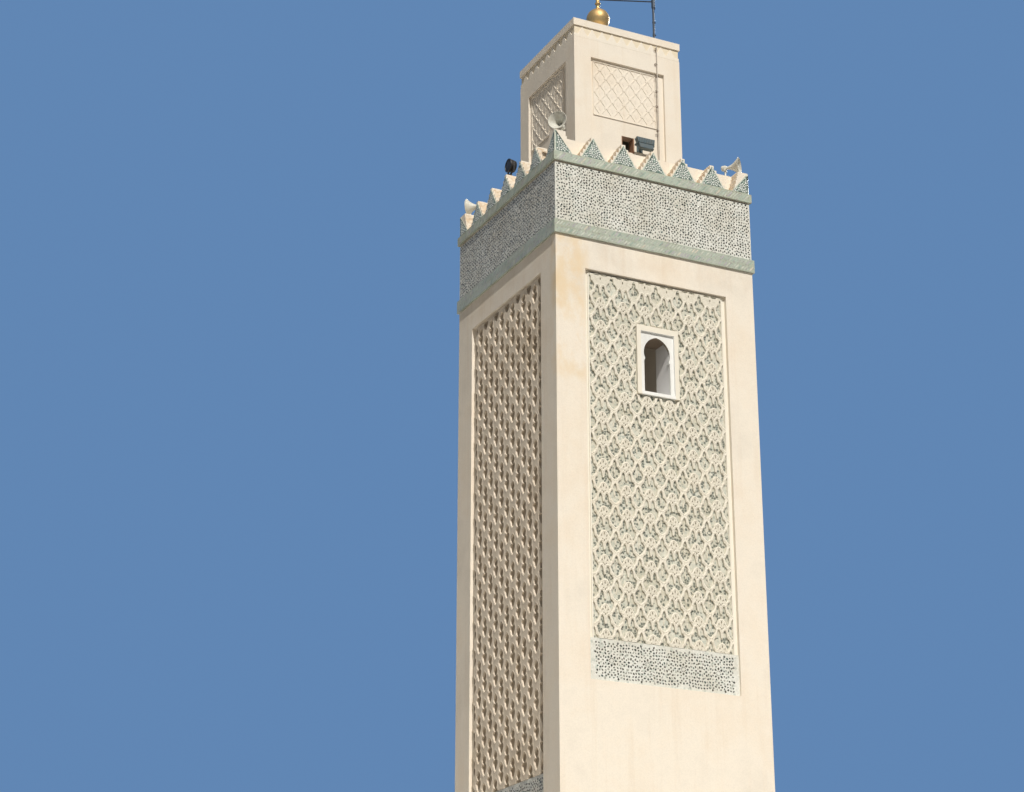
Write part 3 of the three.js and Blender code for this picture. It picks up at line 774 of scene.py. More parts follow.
# Runs a tree on a base mesh and gives back the plain mesh
def grow(name, base, tree, values):
    holder = linked(name + "_base", base)
    modifier = holder.modifiers.new("tree", "NODES")
    modifier.node_group = tree
    sockets = {item.name: item.identifier for item in tree.interface.items_tree
               if item.item_type == "SOCKET" and item.in_out == "INPUT"}
    for label, value in values.items():
        modifier[sockets[label]] = value
    bpy.context.view_layer.update()
    evaluated = holder.evaluated_get(bpy.context.evaluated_depsgraph_get())
    mesh = bpy.data.meshes.new_from_object(evaluated)
    mesh.name = name
    bpy.data.objects.remove(holder)
    return mesh


# Points with a turn about the face's normal, a size and a tone
def pointBase(name, places):
    mesh = bpy.data.meshes.new(name)
    mesh.from_pydata([place[0] for place in places], [], [])
    for label, kind in (("turn", "FLOAT_VECTOR"), ("size", "FLOAT_VECTOR"), ("tone", "FLOAT")):
        mesh.attributes.new(label, kind, "POINT")
    for i, (_, angle, scale, shade) in enumerate(places):
        mesh.attributes["turn"].data[i].vector = (0, angle, 0)
        mesh.attributes["size"].data[i].vector = scale
        mesh.attributes["tone"].data[i].value = shade
    return mesh


def chipsOn(name, places, unit, look):
    base = pointBase(name + "_points", places)
    return grow(name, base, settingTree, {"Unit": unit, "Finish": finish[look]})


# A net of cells from its first row down to the panel's foot, trimmed to the panel and closed at its cut edges
def netMesh(name, sizes, cell, crownCell=None, ridges=()):
    pitch, tip, front = sizes["rowPitch"], sizes["firstTip"], sizes["plateFront"]
    rows = math.ceil((tip - sizes["bottom"]) / pitch)
    if crownCell:
        runs = [(crownCell, 1, tip), (cell, rows - 1, tip - pitch)]
    else:
        rows += 1
        runs = [(cell, rows, tip + pitch)]
    form = bmesh.new()
    for unit, count, start in runs:
        base = bpy.data.meshes.new(name + "_base")
        base.from_pydata([(0, 0, 0)], [], [])
        mesh = grow(name + "_run", base, netTree, {
            "Cell": unit, "Columns": sizes["columns"], "Rows": count, "Column Pitch": sizes["columnPitch"],
            "Row Pitch": pitch, "Finish": finish[sizes["finish"]]})
        mesh.transform(moveBy(0, front, start - (count - 1) * pitch / 2))
        form.from_mesh(mesh)
    bmesh.ops.remove_doubles(form, verts=form.verts, dist=within["netWeld"])
    reach = sizes["columns"] // 2 + 1
    for line in ridges:
        for column in range(-reach, reach + 1):
            for row in range(-1, rows + 1):
                ridge = [(x + column * sizes["columnPitch"], z + tip - row * pitch) for x, z in line]
                if max(z for _, z in ridge) < sizes["top"] - sizes["ridgeClear"]:
                    sunk = sizes["ridgeSunk"]
                    addRidge(form, ridge, sizes["ridgeHalf"], sizes["ridgeRise"] + sunk, front + sunk)
    edges = [(0, sizes["left"], -1), (0, sizes["right"], 1), (2, sizes["bottom"], -1), (2, sizes["top"], 1)]
    cutAlong(form, edges, clear=True)
    if "surround" in sizes:
        cutRoundSurround(form, sizes["surround"])
    bmesh.ops.holes_fill(form, edges=[edge for edge in form.edges if edge.is_boundary], sides=0)
    bmesh.ops.recalc_face_normals(form, faces=form.faces)
    return plainMesh(name, form)


def cutRoundSurround(form, sizes):
    half, low, high = sizes["half"], sizes["low"], sizes["high"]
    cutAlong(form, [(0, -half, 1), (0, half, 1), (2, low, 1), (2, high, 1)], clear=False)
    inside = []
    for face in form.faces:
        middle = face.calc_center_median()
        if abs(middle.x) < half and low < middle.z < high:
            inside.append(face)
    bmesh.ops.delete(form, geom=inside, context="FACES")


# front and back net: spade and twin-lancet openings in a cream plate over tile
frontNet = {
    "columnPitch": 0.61, "rowPitch": 0.58, "columns": 7, "firstTip": 22.735, "finish": "carved",
    "left": -1.832, "right": 1.832, "top": 22.776, "bottom": 13.795, "crownRise": 0.045,
    "plateFront": -2.694, "plateDepth": 0.039, "bevel": 0.006, "islandDrop": 0.024,
    "surround": {"half": 0.600, "low": 19.832, "high": 21.672},
    "spade": [
        (0.0, 0.004), (0.022, -0.022), (0.040, -0.062), (0.048, -0.110), (0.052, -0.158), (0.070, -0.176),
        (0.104, -0.190), (0.106, -0.214), (0.126, -0.240), (0.143, -0.276), (0.134, -0.312), (0.120, -0.350),
        (0.096, -0.392), (0.066, -0.430), (0.034, -0.458), (0.0, -0.482)],
    "twin": [
        (0.0, -0.486), (0.024, -0.468), (0.034, -0.405), (0.042, -0.340), (0.060, -0.296), (0.082, -0.274),
        (0.104, -0.296), (0.120, -0.340), (0.130, -0.405), (0.138, -0.448), (0.156, -0.474), (0.192, -0.486),
        (0.194, -0.508), (0.220, -0.538), (0.211, -0.582), (0.196, -0.640), (0.178, -0.695), (0.150, -0.748),
        (0.124, -0.70), (0.108, -0.650), (0.082, -0.612), (0.046, -0.586), (0.0, -0.574)],
    "smallHoles": [
        (0.305, -0.675, 0.014, 0.042), (0.305, -0.835, 0.016, 0.030), (0.238, -0.722, 0.012, 0.026),
        (0.372, -0.722, 0.012, 0.026), (0.262, -0.800, 0.010, 0.018), (0.348, -0.800, 0.010, 0.018)],
    "crownSlots": [(0.205, 0.004, 0.085, 0.020), (0.405, 0.004, 0.085, 0.020), (0.305, -0.095, 0.014, 0.036)],
    "spadeLeaf": [
        (0.0, -0.070), (0.009, -0.110), (0.010, -0.200), (0.022, -0.250), (0.012, -0.310), (0.0, -0.340)],
    "spadeRidge": [
        (0.0, 0.034), (0.044, -0.018), (0.068, -0.085), (0.080, -0.142), (0.130, -0.168), (0.156, -0.228),
        (0.172, -0.276), (0.154, -0.352), (0.116, -0.416), (0.058, -0.476), (0.0, -0.512)],
    "twinRidge": [
        (0.0, -0.318), (0.034, -0.262), (0.082, -0.242), (0.128, -0.268), (0.152, -0.335), (0.166, -0.425),
        (0.216, -0.462), (0.248, -0.532), (0.238, -0.604), (0.214, -0.690), (0.184, -0.755),
        (0.150, -0.782), (0.100, -0.708), (0.070, -0.650), (0.036, -0.616), (0.0, -0.606)],
    "ridgeHalf": 0.019, "ridgeRise": 0.010, "ridgeSunk": 0.001, "ridgeClear": 0.02,
}


def makeFrontNets():
    sizes = frontNet
    half = sizes["columnPitch"] / 2
    holes = [mirrored(sizes["spade"]), moved(mirrored(sizes["twin"]), half, 0)]
    holes += [lozenge(*hole) for hole in sizes["smallHoles"]]
    leaves = [mirrored(sizes["spadeLeaf"])]
    ridges = [mirrored(sizes["spadeRidge"]), moved(mirrored(sizes["twinRidge"]), half, 0)]
    cell = piercedCell("front_net_cell", sizes, holes, leaves)
    slots = [lozenge(*hole) for hole in sizes["crownSlots"]]
    crown = piercedCell("front_net_crown", sizes, holes + slots, leaves, sizes["crownRise"], rows=(0,))
    mesh = netMesh("front_nets", sizes, cell, crown, ridges)
    setOnSides("{}_net_relief", mesh, "carved", ("front", "back"))
    print("front nets,", len(mesh.polygons), "faces")


# side nets: pointed openings with a waist, in offset columns
sideNet = {
    "columnPitch": 0.61, "rowPitch": 0.664, "columns": 7, "firstTip": 22.711, "finish": "stucco",
    "left": -1.832, "right": 1.832, "top": 22.826, "bottom": 10.815,
    "plateFront": -2.704, "plateDepth": 0.049, "bevel": 0.005,
    "slot": [
        (0.0, 0.012), (0.034, -0.010), (0.070, -0.036), (0.100, -0.076), (0.106, -0.112), (0.092, -0.150),
        (0.064, -0.182), (0.050, -0.204), (0.080, -0.216), (0.116, -0.234), (0.130, -0.264), (0.126, -0.304),
        (0.103, -0.352), (0.069, -0.407), (0.031, -0.454), (0.0, -0.476)],
    "ridge": [
        (0.0, 0.044), (0.050, 0.018), (0.100, -0.024), (0.134, -0.080), (0.138, -0.128), (0.118, -0.174),
        (0.142, -0.204), (0.160, -0.256), (0.156, -0.312), (0.128, -0.372), (0.090, -0.432), (0.042, -0.484),
        (0.0, -0.508)],
    "ridgeHalf": 0.014, "ridgeRise": 0.006, "ridgeSunk": 0.001, "ridgeClear": 0.02,
}


def makeSideNets():
    sizes = sideNet
    slot, ridge = mirrored(sizes["slot"]), mirrored(sizes["ridge"])
    halfColumn, halfRow = sizes["columnPitch"] / 2, sizes["rowPitch"] / 2
    cell = piercedCell("side_net_cell", sizes, [moved(slot, 0, -halfRow), moved(slot, halfColumn, 0)])
    ridges = [moved(ridge, 0, -halfRow), moved(ridge, halfColumn, 0)]
    mesh = netMesh("side_net_relief", sizes, cell, ridges=ridges)
    setOnSides("{}_net_relief", mesh, "stucco", ("left", "right"))
    print("side nets,", len(mesh.polygons), "faces")


# lattice on the lantern's sunk panels: fine ribs round lozenges, each with a raised leaf, in a narrow frame
latticeNet = {
    "columnPitch": 0.35, "rowPitch": 0.43, "columns": 8, "firstTip": 29.33, "finish": "plaster",
    "left": -0.995, "right": 0.845, "top": 29.36, "bottom": 27.80,
    "plateFront": -1.498, "plateDepth": 0.013, "bevel": 0.005, "islandDrop": 0.008,
    "frameWide": 0.022, "frameFront": -1.507, "frameOver": 0.002, "frameOut": 0.003, "frameChamfer": 0.004,
    "slot": [
        (0.0, 0.0), (0.030, -0.034), (0.052, -0.072), (0.096, -0.118), (0.128, -0.168), (0.118, -0.205),
        (0.138, -0.222), (0.112, -0.262), (0.074, -0.308), (0.040, -0.348), (0.0, -0.378)],
    "leaf": [
        (0.0, -0.085), (0.022, -0.125), (0.052, -0.168), (0.046, -0.215), (0.022, -0.262), (0.0, -0.295)],
}


def makeLattices():
    sizes = latticeNet
    quarter, halfRow = sizes["columnPitch"] / 4, sizes["rowPitch"] / 2
    slot, leaf = mirrored(sizes["slot"]), mirrored(sizes["leaf"])
    holes = [moved(slot, -quarter, 0), moved(slot, quarter, -halfRow)]
    leaves = [moved(leaf, -quarter, 0), moved(leaf, quarter, -halfRow)]
    mesh = netMesh("lantern_net", sizes, piercedCell("lattice_cell", sizes, holes, leaves))
    form = bmesh.new()
    form.from_mesh(mesh)
    wide, over, out = sizes["frameWide"], sizes["frameOver"], sizes["frameOut"]
    left, right, low, high = sizes["left"], sizes["right"], sizes["bottom"], sizes["top"]
    for bar in ((left, right, low - over, low + wide), (left, right, high - wide, high + over),
                (left - out, left + wide, low + wide, high - wide),
                (right - wide, right + out, low + wide, high - wide)):
        prism(form, rectangle(*bar), sizes["plateFront"] + sizes["plateDepth"], sizes["frameFront"],
              sizes["frameChamfer"])
    bmesh.ops.recalc_face_normals(form, faces=form.faces)
    form.to_mesh(mesh)
    form.free()
    setOnSides("lantern_{}_net", mesh, "plaster")
    print("lattices,", len(mesh.polygons), "faces")


makeFrontNets()
makeSideNets()
makeLattices()


# Mosaic: rosettes of dark glazed chips, on the band under the parapet and on the strip under each net
mosaics = {
    "band": {
        "half": 2.75, "low": 23.945, "high": 25.49, "face": -2.75, "pitch": 1.10, "height": 24.71,
        "centres": (-2, -1, 0, 1, 2), "edgeCentres": 6, "edgeRise": 0.75, "margin": 0.028,
        "name": "{}_band_chips", "sides": tuple(sides)},
    "front_strip": {
        "half": 1.86, "low": 12.83, "high": 13.78, "face": -2.69, "pitch": 0.93, "height": 13.305,
        "centres": (-1.5, -0.5, 0.5, 1.5), "edgeCentres": 0, "margin": 0.045,
        "name": "{}_strip_chips", "sides": ("front", "back")},
    "side_strip": {
        "half": 1.86, "low": 9.85, "high": 10.80, "face": -2.69, "pitch": 0.93, "height": 10.325,
        "centres": (-1.5, -0.5, 0.5, 1.5), "edgeCentres": 0, "margin": 0.045,
        "name": "{}_strip_chips", "sides": ("left", "right")},
}
chipSizes = {
    "outline": [(0.5, 0), (0.25, 0.5), (-0.25, 0.5), (-0.5, 0), (-0.25, -0.5), (0.25, -0.5)],
    "rings": 14, "firstRing": 0.108, "ringStep": 0.0555, "perRing": 8,
    "long": 0.054, "wide": 0.034, "rise": 0.0045, "longSpread": (0.88, 1.06), "wideSpread": (0.86, 1.1),
    "shares": (1.25, 0.86, 1.02, 0.90, 1.10, 0.92), "heartShare": 0.62,
    "apart": 0.0525, "heartApart": 0.034, "reach": 0.07, "bare": 0.03,
    "darkRings": (0, 1, 4, 7, 8), "darkTone": 0.42, "anyTone": 0.86, "seed": 7,
}


# Rings of chips round each rosette's centre, up to halfway to the next: eight on the first three rings, eight
# more on every second one after them, standing along the radius and across it by turns
def rosetteChips(sizes):
    chips = chipSizes
    chance = random.Random(chips["seed"])
    centres = [(x * sizes["pitch"], sizes["height"]) for x in sizes["centres"]]
    for x in range(sizes["edgeCentres"]):
        for rise in (-1, 1):
            centres.append((-sizes["half"] + x * sizes["pitch"], sizes["height"] + rise * sizes["edgeRise"]))
    low, high = sizes["low"] + sizes["margin"], sizes["high"] - sizes["margin"]
    places = []
    taken = {}
    for centre in centres:
        for ring in range(-1, chips["rings"]):
            radius = chips["firstRing"] + ring * chips["ringStep"]
            count = chips["perRing"] * (1 + max(ring, 0) // 2)
            for step in range(count):
                angle = 2 * math.pi * (step + 0.5 * (ring % 2)) / count
                x, z = centre[0] + radius * math.cos(angle), centre[1] + radius * math.sin(angle)
                if abs(x) > sizes["half"] - sizes["margin"] or not low < z < high:
                    continue
                if any(math.hypot(x - other[0], z - other[1]) < radius - within["zero"] for other in centres):
                    continue
                cell = (round(x / chips["reach"]), round(z / chips["reach"]))
                near = [p for a in (-1, 0, 1) for b in (-1, 0, 1)
                        for p in taken.get((cell[0] + a, cell[1] + b), [])]
                apart = chips["heartApart"] if ring < 0 else chips["apart"]
                if any(math.hypot(x - p[0], z - p[1]) < apart for p in near):
                    continue
                taken.setdefault(cell, []).append((x, z))
                if ring > 1 and chance.random() < chips["bare"]:
                    continue
                across = (ring + step) % 2 == 1 if ring > 1 else ring == 1
                turn = -angle + (math.pi / 2 if across else 0.0)
                share = chips["heartShare"] if ring < 0 else chips["shares"][ring % len(chips["shares"])]
                long = chips["long"] * share * chance.uniform(*chips["longSpread"])
                wide = chips["wide"] * share * chance.uniform(*chips["wideSpread"])
                tone = chance.random() * chips["darkTone" if ring in chips["darkRings"] else "anyTone"]
                places.append(((x, sizes["face"], z), turn, (long, chips["rise"], wide), tone))
    return places


def makeBandChips():
    unit = chipUnit("chip_unit", chipSizes["outline"])
    for label, sizes in mosaics.items():
        places = rosetteChips(sizes)
        mesh = chipsOn(label + "_chips", places, unit, "bandChips")
        setOnSides(sizes["name"], mesh, "bandChips", sizes["sides"])
        print(label, "chips,", len(places), "on each side")


makeBandChips()


# Slanting strokes on the band's border and on the trim course
strokeRows = {
    "outline": [(0.5, 0), (0.42, 0.34), (0.1, 0.5), (-0.35, 0.42), (-0.5, 0), (-0.42, -0.34), (-0.1, -0.5),
                (0.35, -0.42)],
    "pitch": 0.083, "rise": 0.003, "face": -2.7982, "half": 2.785, "margin": 0.02, "seed": 11,
    "lean": 47, "leanSpread": 3, "longSpread": (0.92, 1.0), "wideSpread": (0.8, 1.05),
    "rows": [    # height, length, width
        (23.685, 0.180, 0.040), (23.852, 0.180, 0.040), (25.650, 0.270, 0.040)],
}


def makeStrokes():
    sizes = strokeRows
    chance = random.Random(sizes["seed"])
    spread = sizes["leanSpread"]
    places = []
    for height, long, wide in sizes["rows"]:
        reach = long * math.cos(math.radians(sizes["lean"])) / 2 + sizes["margin"]
        count = int(2 * (sizes["half"] - reach) / sizes["pitch"])
        start = -count * sizes["pitch"] / 2
        for i in range(count + 1):
            x = start + i * sizes["pitch"]
            scale = (long * chance.uniform(*sizes["longSpread"]), sizes["rise"],
                     wide * chance.uniform(*sizes["wideSpread"]))
            turn = -math.radians(sizes["lean"] + chance.uniform(-spread, spread))
            places.append(((x, sizes["face"], height), turn, scale, chance.random()))
    mesh = chipsOn("strokes", places, chipUnit("stroke_unit", sizes["outline"]), "strokeChips")
    setOnSides("{}_border_strokes", mesh, "strokeChips")
    print("border strokes,", len(places), "on each side")


makeStrokes()


# Tiled faces of the parapet's teeth: a pale frame round dark tiles, with rings of white chips
toothFace = {
    "teeth": 5, "pitch": 0.845, "baseHalf": 0.345, "tipHalf": 0.012, "low": 25.772, "high": 26.345,
    "cornerEdge": 2.7475, "cornerBase": 0.50, "cornerTip": 0.02, "cornerHigh": 26.362, "cornerHeart": 0.948,
    "face": -2.75, "frame": 0.030, "frameThick": 0.008, "frameSunk": 0.002, "thick": 0.012, "sunk": 0.001,
    "chamfer": 0.003, "chipMargin": 0.016, "heart": 0.168, "petalRise": 0.0045, "longSpread": (0.9, 1.08),
    "wideSpread": (0.85, 1.1), "paleRings": 2, "paleTone": 0.70, "anyTone": 0.94, "seed": 5,
    "rings": [    # radius, how many chips, their length and width
        (0.050, 7, 0.052, 0.032), (0.106, 12, 0.056, 0.037), (0.163, 17, 0.054, 0.040),
        (0.219, 23, 0.054, 0.040), (0.275, 28, 0.054, 0.042), (0.331, 34, 0.054, 0.042),
        (0.387, 40, 0.054, 0.042)],
    "outline": [(0.5, 0), (0.22, 0.5), (-0.22, 0.42), (-0.5, 0), (-0.22, -0.42), (0.22, -0.5)],
}


# Each tooth's outline and the middle of its rings; a corner tooth's sits near its upright edge
def toothOutlines():
    sizes = toothFace
    low, high, base, tip = sizes["low"], sizes["high"], sizes["baseHalf"], sizes["tipHalf"]
    teeth = []
    for i in range(sizes["teeth"]):
        middle = (i - (sizes["teeth"] - 1) // 2) * sizes["pitch"]
        outline = [(middle - base, low), (middle + base, low), (middle + tip, high), (middle - tip, high)]
        teeth.append((outline, middle))
    for end in (-1, 1):
        edge = end * sizes["cornerEdge"]
        top = sizes["cornerHigh"]
        outline = [(edge, low), (edge, top), (edge - end * sizes["cornerTip"], top),
                   (edge - end * sizes["cornerBase"], low)]
        teeth.append((outline, edge * sizes["cornerHeart"]))
    return teeth


def makeToothTiles():
    sizes = toothFace
    chance = random.Random(sizes["seed"])
    wall = sizes["face"]
    face = wall - sizes["thick"]
    frames, fields = bmesh.new(), bmesh.new()
    places = []
    for outline, middle in toothOutlines():
        prism(frames, outline, wall + sizes["frameSunk"], wall - sizes["frameThick"], sizes["chamfer"])
        prism(fields, grown(outline, -sizes["frame"]), wall + sizes["sunk"], face, sizes["chamfer"])
        room = grown(outline, -sizes["frame"] - sizes["chipMargin"])
        heart = sizes["low"] + sizes["heart"]
        for number, (radius, count, long, wide) in enumerate(sizes["rings"]):
            for petal in range(count):
                angle = 2 * math.pi * (petal + 0.5 * (number % 2)) / count
                x, z = middle + radius * math.cos(angle), heart + radius * math.sin(angle)
                if not insideOutline(x, z, room):
                    continue
                scale = (long * chance.uniform(*sizes["longSpread"]), sizes["petalRise"],
                         wide * chance.uniform(*sizes["wideSpread"]))
                tone = chance.random() * sizes["paleTone" if number < sizes["paleRings"] else "anyTone"]
                places.append(((x, face + sizes["sunk"], z), -angle, scale, tone))
    chips = chipsOn("tooth_chips", places, chipUnit("petal_unit", sizes["outline"]), "merlonChips")
    frames, fields = meshOf("tooth_frames", frames), meshOf("tooth_fields", fields)
    for side in sides:
        setOnSides("{}_tooth_frames", frames, "merlonFrame", (side,))
        setOnSides("{}_tooth_fields", fields, "merlonGround", (side,))
        setOnSides("{}_tooth_chips", chips, "merlonChips", (side,))
    print("tooth tiles,", len(places), "chips on each side")


makeToothTiles()


# Frieze under the lantern's roof: pointed teeth on a plain strip, on the shoulder in front of the niche
frieze = {
    "front": {"pitch": 0.29, "count": 10, "stripEnd": -1.55, "groundEnd": -1.534},
    "side": {"pitch": 0.318, "count": 9, "stripEnd": -1.466, "groundEnd": -1.466},
    "low": 29.932, "strip": 30.03, "toothFoot": 30.018, "high": 30.235, "groundFoot": 30.026, "top": 30.258,
    "face": -1.467, "rise": 0.083, "ground": -1.534, "groundSunk": 0.002, "groundChamfer": 0.002,
    "baseHalf": 0.134, "tipHalf": 0.012, "sunk": 0.003, "toothBack": 0.002, "chamfer": 0.006,
}


def makeFrieze():
    sizes = frieze
    front = sizes["face"] - sizes["rise"]
    back = sizes["face"] + sizes["sunk"]
    base, foot, tip = sizes["baseHalf"], sizes["toothFoot"], sizes["tipHalf"]
    for side in sides:
        lengthwise = sizes["front" if side in ("front", "back") else "side"]
        strip, ground = lengthwise["stripEnd"], lengthwise["groundEnd"]
        form = bmesh.new()
        prism(form, rectangle(ground, -ground, sizes["groundFoot"], sizes["top"]),
              sizes["face"] + sizes["groundSunk"], sizes["ground"], sizes["groundChamfer"])
        prism(form, rectangle(strip, -strip, sizes["low"], sizes["strip"]), back, front, sizes["chamfer"])
        for i in range(lengthwise["count"]):
            x = (i - (lengthwise["count"] - 1) / 2) * lengthwise["pitch"]
            outline = [(x - base, foot), (x + base, foot), (x + tip, sizes["high"]), (x - tip, sizes["high"])]
            prism(form, outline, back, front + sizes["toothBack"], sizes["chamfer"])
        setOnSides("lantern_{}_frieze", meshOf(side + "_frieze_flat", form), "frieze", (side,))


makeFrieze()
print("frieze made")


# Rings about an axis through (0, 0), as a list of (radius, distance along), put in place by the matrix
def addTurned(form, profile, count, place, look=0, closed=False):
    rings = []
    for radius, along in profile:
        angles = [2 * math.pi * i / count for i in range(count)] if radius > within["zero"] else [0.0]
        spots = [(radius * math.cos(angle), radius * math.sin(angle), along) for angle in angles]
        rings.append([form.verts.new(place @ Vector(spot)) for spot in spots])
    for low, high in zip(rings, rings[1:] + rings[:1] if closed else rings[1:]):
        for i in range(count):
            corners = list(dict.fromkeys((low[i % len(low)], low[(i + 1) % len(low)],
                                          high[(i + 1) % len(high)], high[i % len(high)])))
            if len(corners) > 2:
                form.faces.new(corners).material_index = look


# Points of a round section, for a ring of that radius and thickness
def roundSection(radius, thick):
    points = 8
    angles = [2 * math.pi * i / points for i in range(points)]
    return [(radius + thick * math.cos(angle), thick * math.sin(angle)) for angle in angles]


# A plain pin or post, closed at both ends
def post(radius, low, high):
    return [(0, low), (radius, low), (radius, high), (0, high)]


# Adds a form of its own with one look, at the place that the matrix gives
def addForm(form, part, place, look):
    for face in part.faces:
        face.material_index = look
    bmesh.ops.transform(part, matrix=place, verts=part.verts)
    mesh = plainMesh("part", part)
    form.from_mesh(mesh)
    bpy.data.meshes.remove(mesh)


# A block between two corners, its edges slightly bevelled
def addBlock(form, low, high, place=still, bevel=0.002, look=0):
    made = bmesh.new()
    bmesh.ops.create_cube(made, size=1.0)
    for vert in made.verts:
        vert.co = Vector([(a + b) / 2 + c * (b - a) for a, b, c in zip(low, high, vert.co)])
    bmesh.ops.bevel(made, geom=made.edges[:], offset=bevel, segments=2, affect="EDGES", profile=0.7)
    addForm(form, made, place, look)


# Six-sided bolt heads standing on the plane that the matrix gives
def addBolts(form, spots, radius, rise, place):
    sunk, flat, faces = -0.001, 0.8, 6
    head = [(0, sunk), (radius, sunk), (radius, rise * flat), (radius * flat, rise), (0, rise)]
    for x, y in spots:
        addTurned(form, head, faces, place @ moveBy(x, y, 0))


def cornersOf(xs, ys):
    return [(x, y) for x in xs for y in ys]


def smoothPiece(name, form, looks, sharp=35):
    mesh = meshOf(name, form)
    mesh.shade_smooth()
    if sharp:
        mesh.set_sharp_from_angle(angle=math.radians(sharp))
    return newPiece(name, mesh, looks)


# Finial: turned brass balls on a necked rod, each with a shoulder drawn up to the neck
finial = {
    "sides": 64, "foot": 31.178, "neck": 0.050,
    "base": [    # radius, height above the foot
        (0.0, 0.0), (0.118, 0.0), (0.118, 0.012), (0.106, 0.034), (0.084, 0.046), (0.066, 0.06),
        (0.050, 0.09)],
    "balls": [(31.635, 0.312), (32.52, 0.203), (32.96, 0.128)],    # height of the middle, radius
    "ballSteps": 22, "ballEnd": 0.70, "seam": 0.004,
    "ringFoot": 32.10,
    "ring": [(0.0, 0.0), (0.008, 0.016), (0.022, 0.028), (0.036, 0.028), (0.050, 0.016), (0.060, 0.0)],
    "shoulder": 0.15, "shoulderBall": 0.32, "shoulderCurve": (1.9, 0.75),
    "shoulderSteps": (0.2, 0.4, 0.6, 0.8, 1.0),
    "point": [(0.040, 33.15), (0.028, 33.22), (0.012, 33.30), (0.0, 33.325)],
}


def finialProfile():
    sizes = finial
    neck, steps = sizes["neck"], sizes["ballSteps"]
    inwards, upwards = sizes["shoulderCurve"]
    profile = [(radius, sizes["foot"] + rise) for radius, rise in sizes["base"]]
    for number, (height, radius) in enumerate(sizes["balls"]):
        if number == 1:        # a ring on the rod under the second ball
            profile += [(neck + reach, sizes["ringFoot"] + rise) for rise, reach in sizes["ring"]]
        first = math.asin(neck / radius)
        last = math.pi - math.asin(sizes["ballEnd"])
        profile.append((neck, height - radius * math.cos(first)))
        for i in range(1, steps + 1):
            angle = first + (last - first) * i / steps
            seam = sizes["seam"] if i == steps // 2 else 0.0
            profile.append((radius * math.sin(angle) - seam, height - radius * math.cos(angle)))
        across, base = profile[-1]
        draw = sizes["shoulder"] * radius / sizes["shoulderBall"]
        for share in sizes["shoulderSteps"]:        # a concave run from the ball's upper side into the neck
            profile.append((neck + (across - neck) * (1 - share) ** inwards, base + draw * share ** upwards))
    return profile + sizes["point"]


def makeFinial():
    form = bmesh.new()
    addTurned(form, finialProfile(), finial["sides"], still)
    piece = smoothPiece("finial_turned", form, ["brass"], sharp=None)
    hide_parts("finial")


makeFinial()
print("finial made")


# Horn loudspeakers: a flared bell with a rolled rim, its driver, a yoke and a flanged stub on the parapet
horns = {
    "corner": 2.375, "foot": 26.355, "sides": 48,
    "mouth": 0.240, "throat": 0.036, "long": 0.330, "curve": 1.75, "bellSteps": 18,
    "wall": 0.004, "back": -0.004, "insideBack": 0.012, "insideStep": 0.006,
    "rim": 0.0065, "rimSteps": 8, "rimFrom": -100, "rimTurn": 290,
    "driver": [
        (0, -0.145), (0.040, -0.145), (0.058, -0.138), (0.067, -0.126), (0.073, -0.116), (0.073, -0.082),
        (0.067, -0.078), (0.067, -0.070), (0.073, -0.066), (0.073, -0.034), (0.065, -0.024), (0.052, -0.014),
        (0.042, 0.004), (0, 0.004)],
    "plug": [(0, 0.010), (0.020, 0.012), (0.026, 0.040), (0.024, 0.085), (0.012, 0.108), (0, 0.112)],
    "driverSides": 32, "plugSides": 20, "stubSides": 16,
    "stub": 0.023, "stubAt": 0.045, "stubFoot": 0.010, "stubTop": -0.078,
    "yokeAt": 0.079, "yokeHalf": 0.004, "yokeNear": 0.020, "yokeFar": 0.070,
    "yokeLow": -0.082, "yokeHigh": 0.014, "barLow": -0.090, "barHigh": -0.080, "yokeBolt": (0.011, 0.006),
    "flange": 0.073, "flangeNear": -0.055, "flangeFar": 0.091, "flangeLow": 0.0005, "flangeHigh": 0.0115,
    "boltsAcross": (-0.052, 0.052), "boltsAlong": (-0.034, 0.070), "flangeBolt": (0.010, 0.008),
    "places": {"near_left": (-1, -1, -45, 26.725), "near_right": (1, -1, 45, 26.625),
               "far_left": (-1, 1, -135, 26.625), "far_right": (1, 1, 135, 26.625)},
}


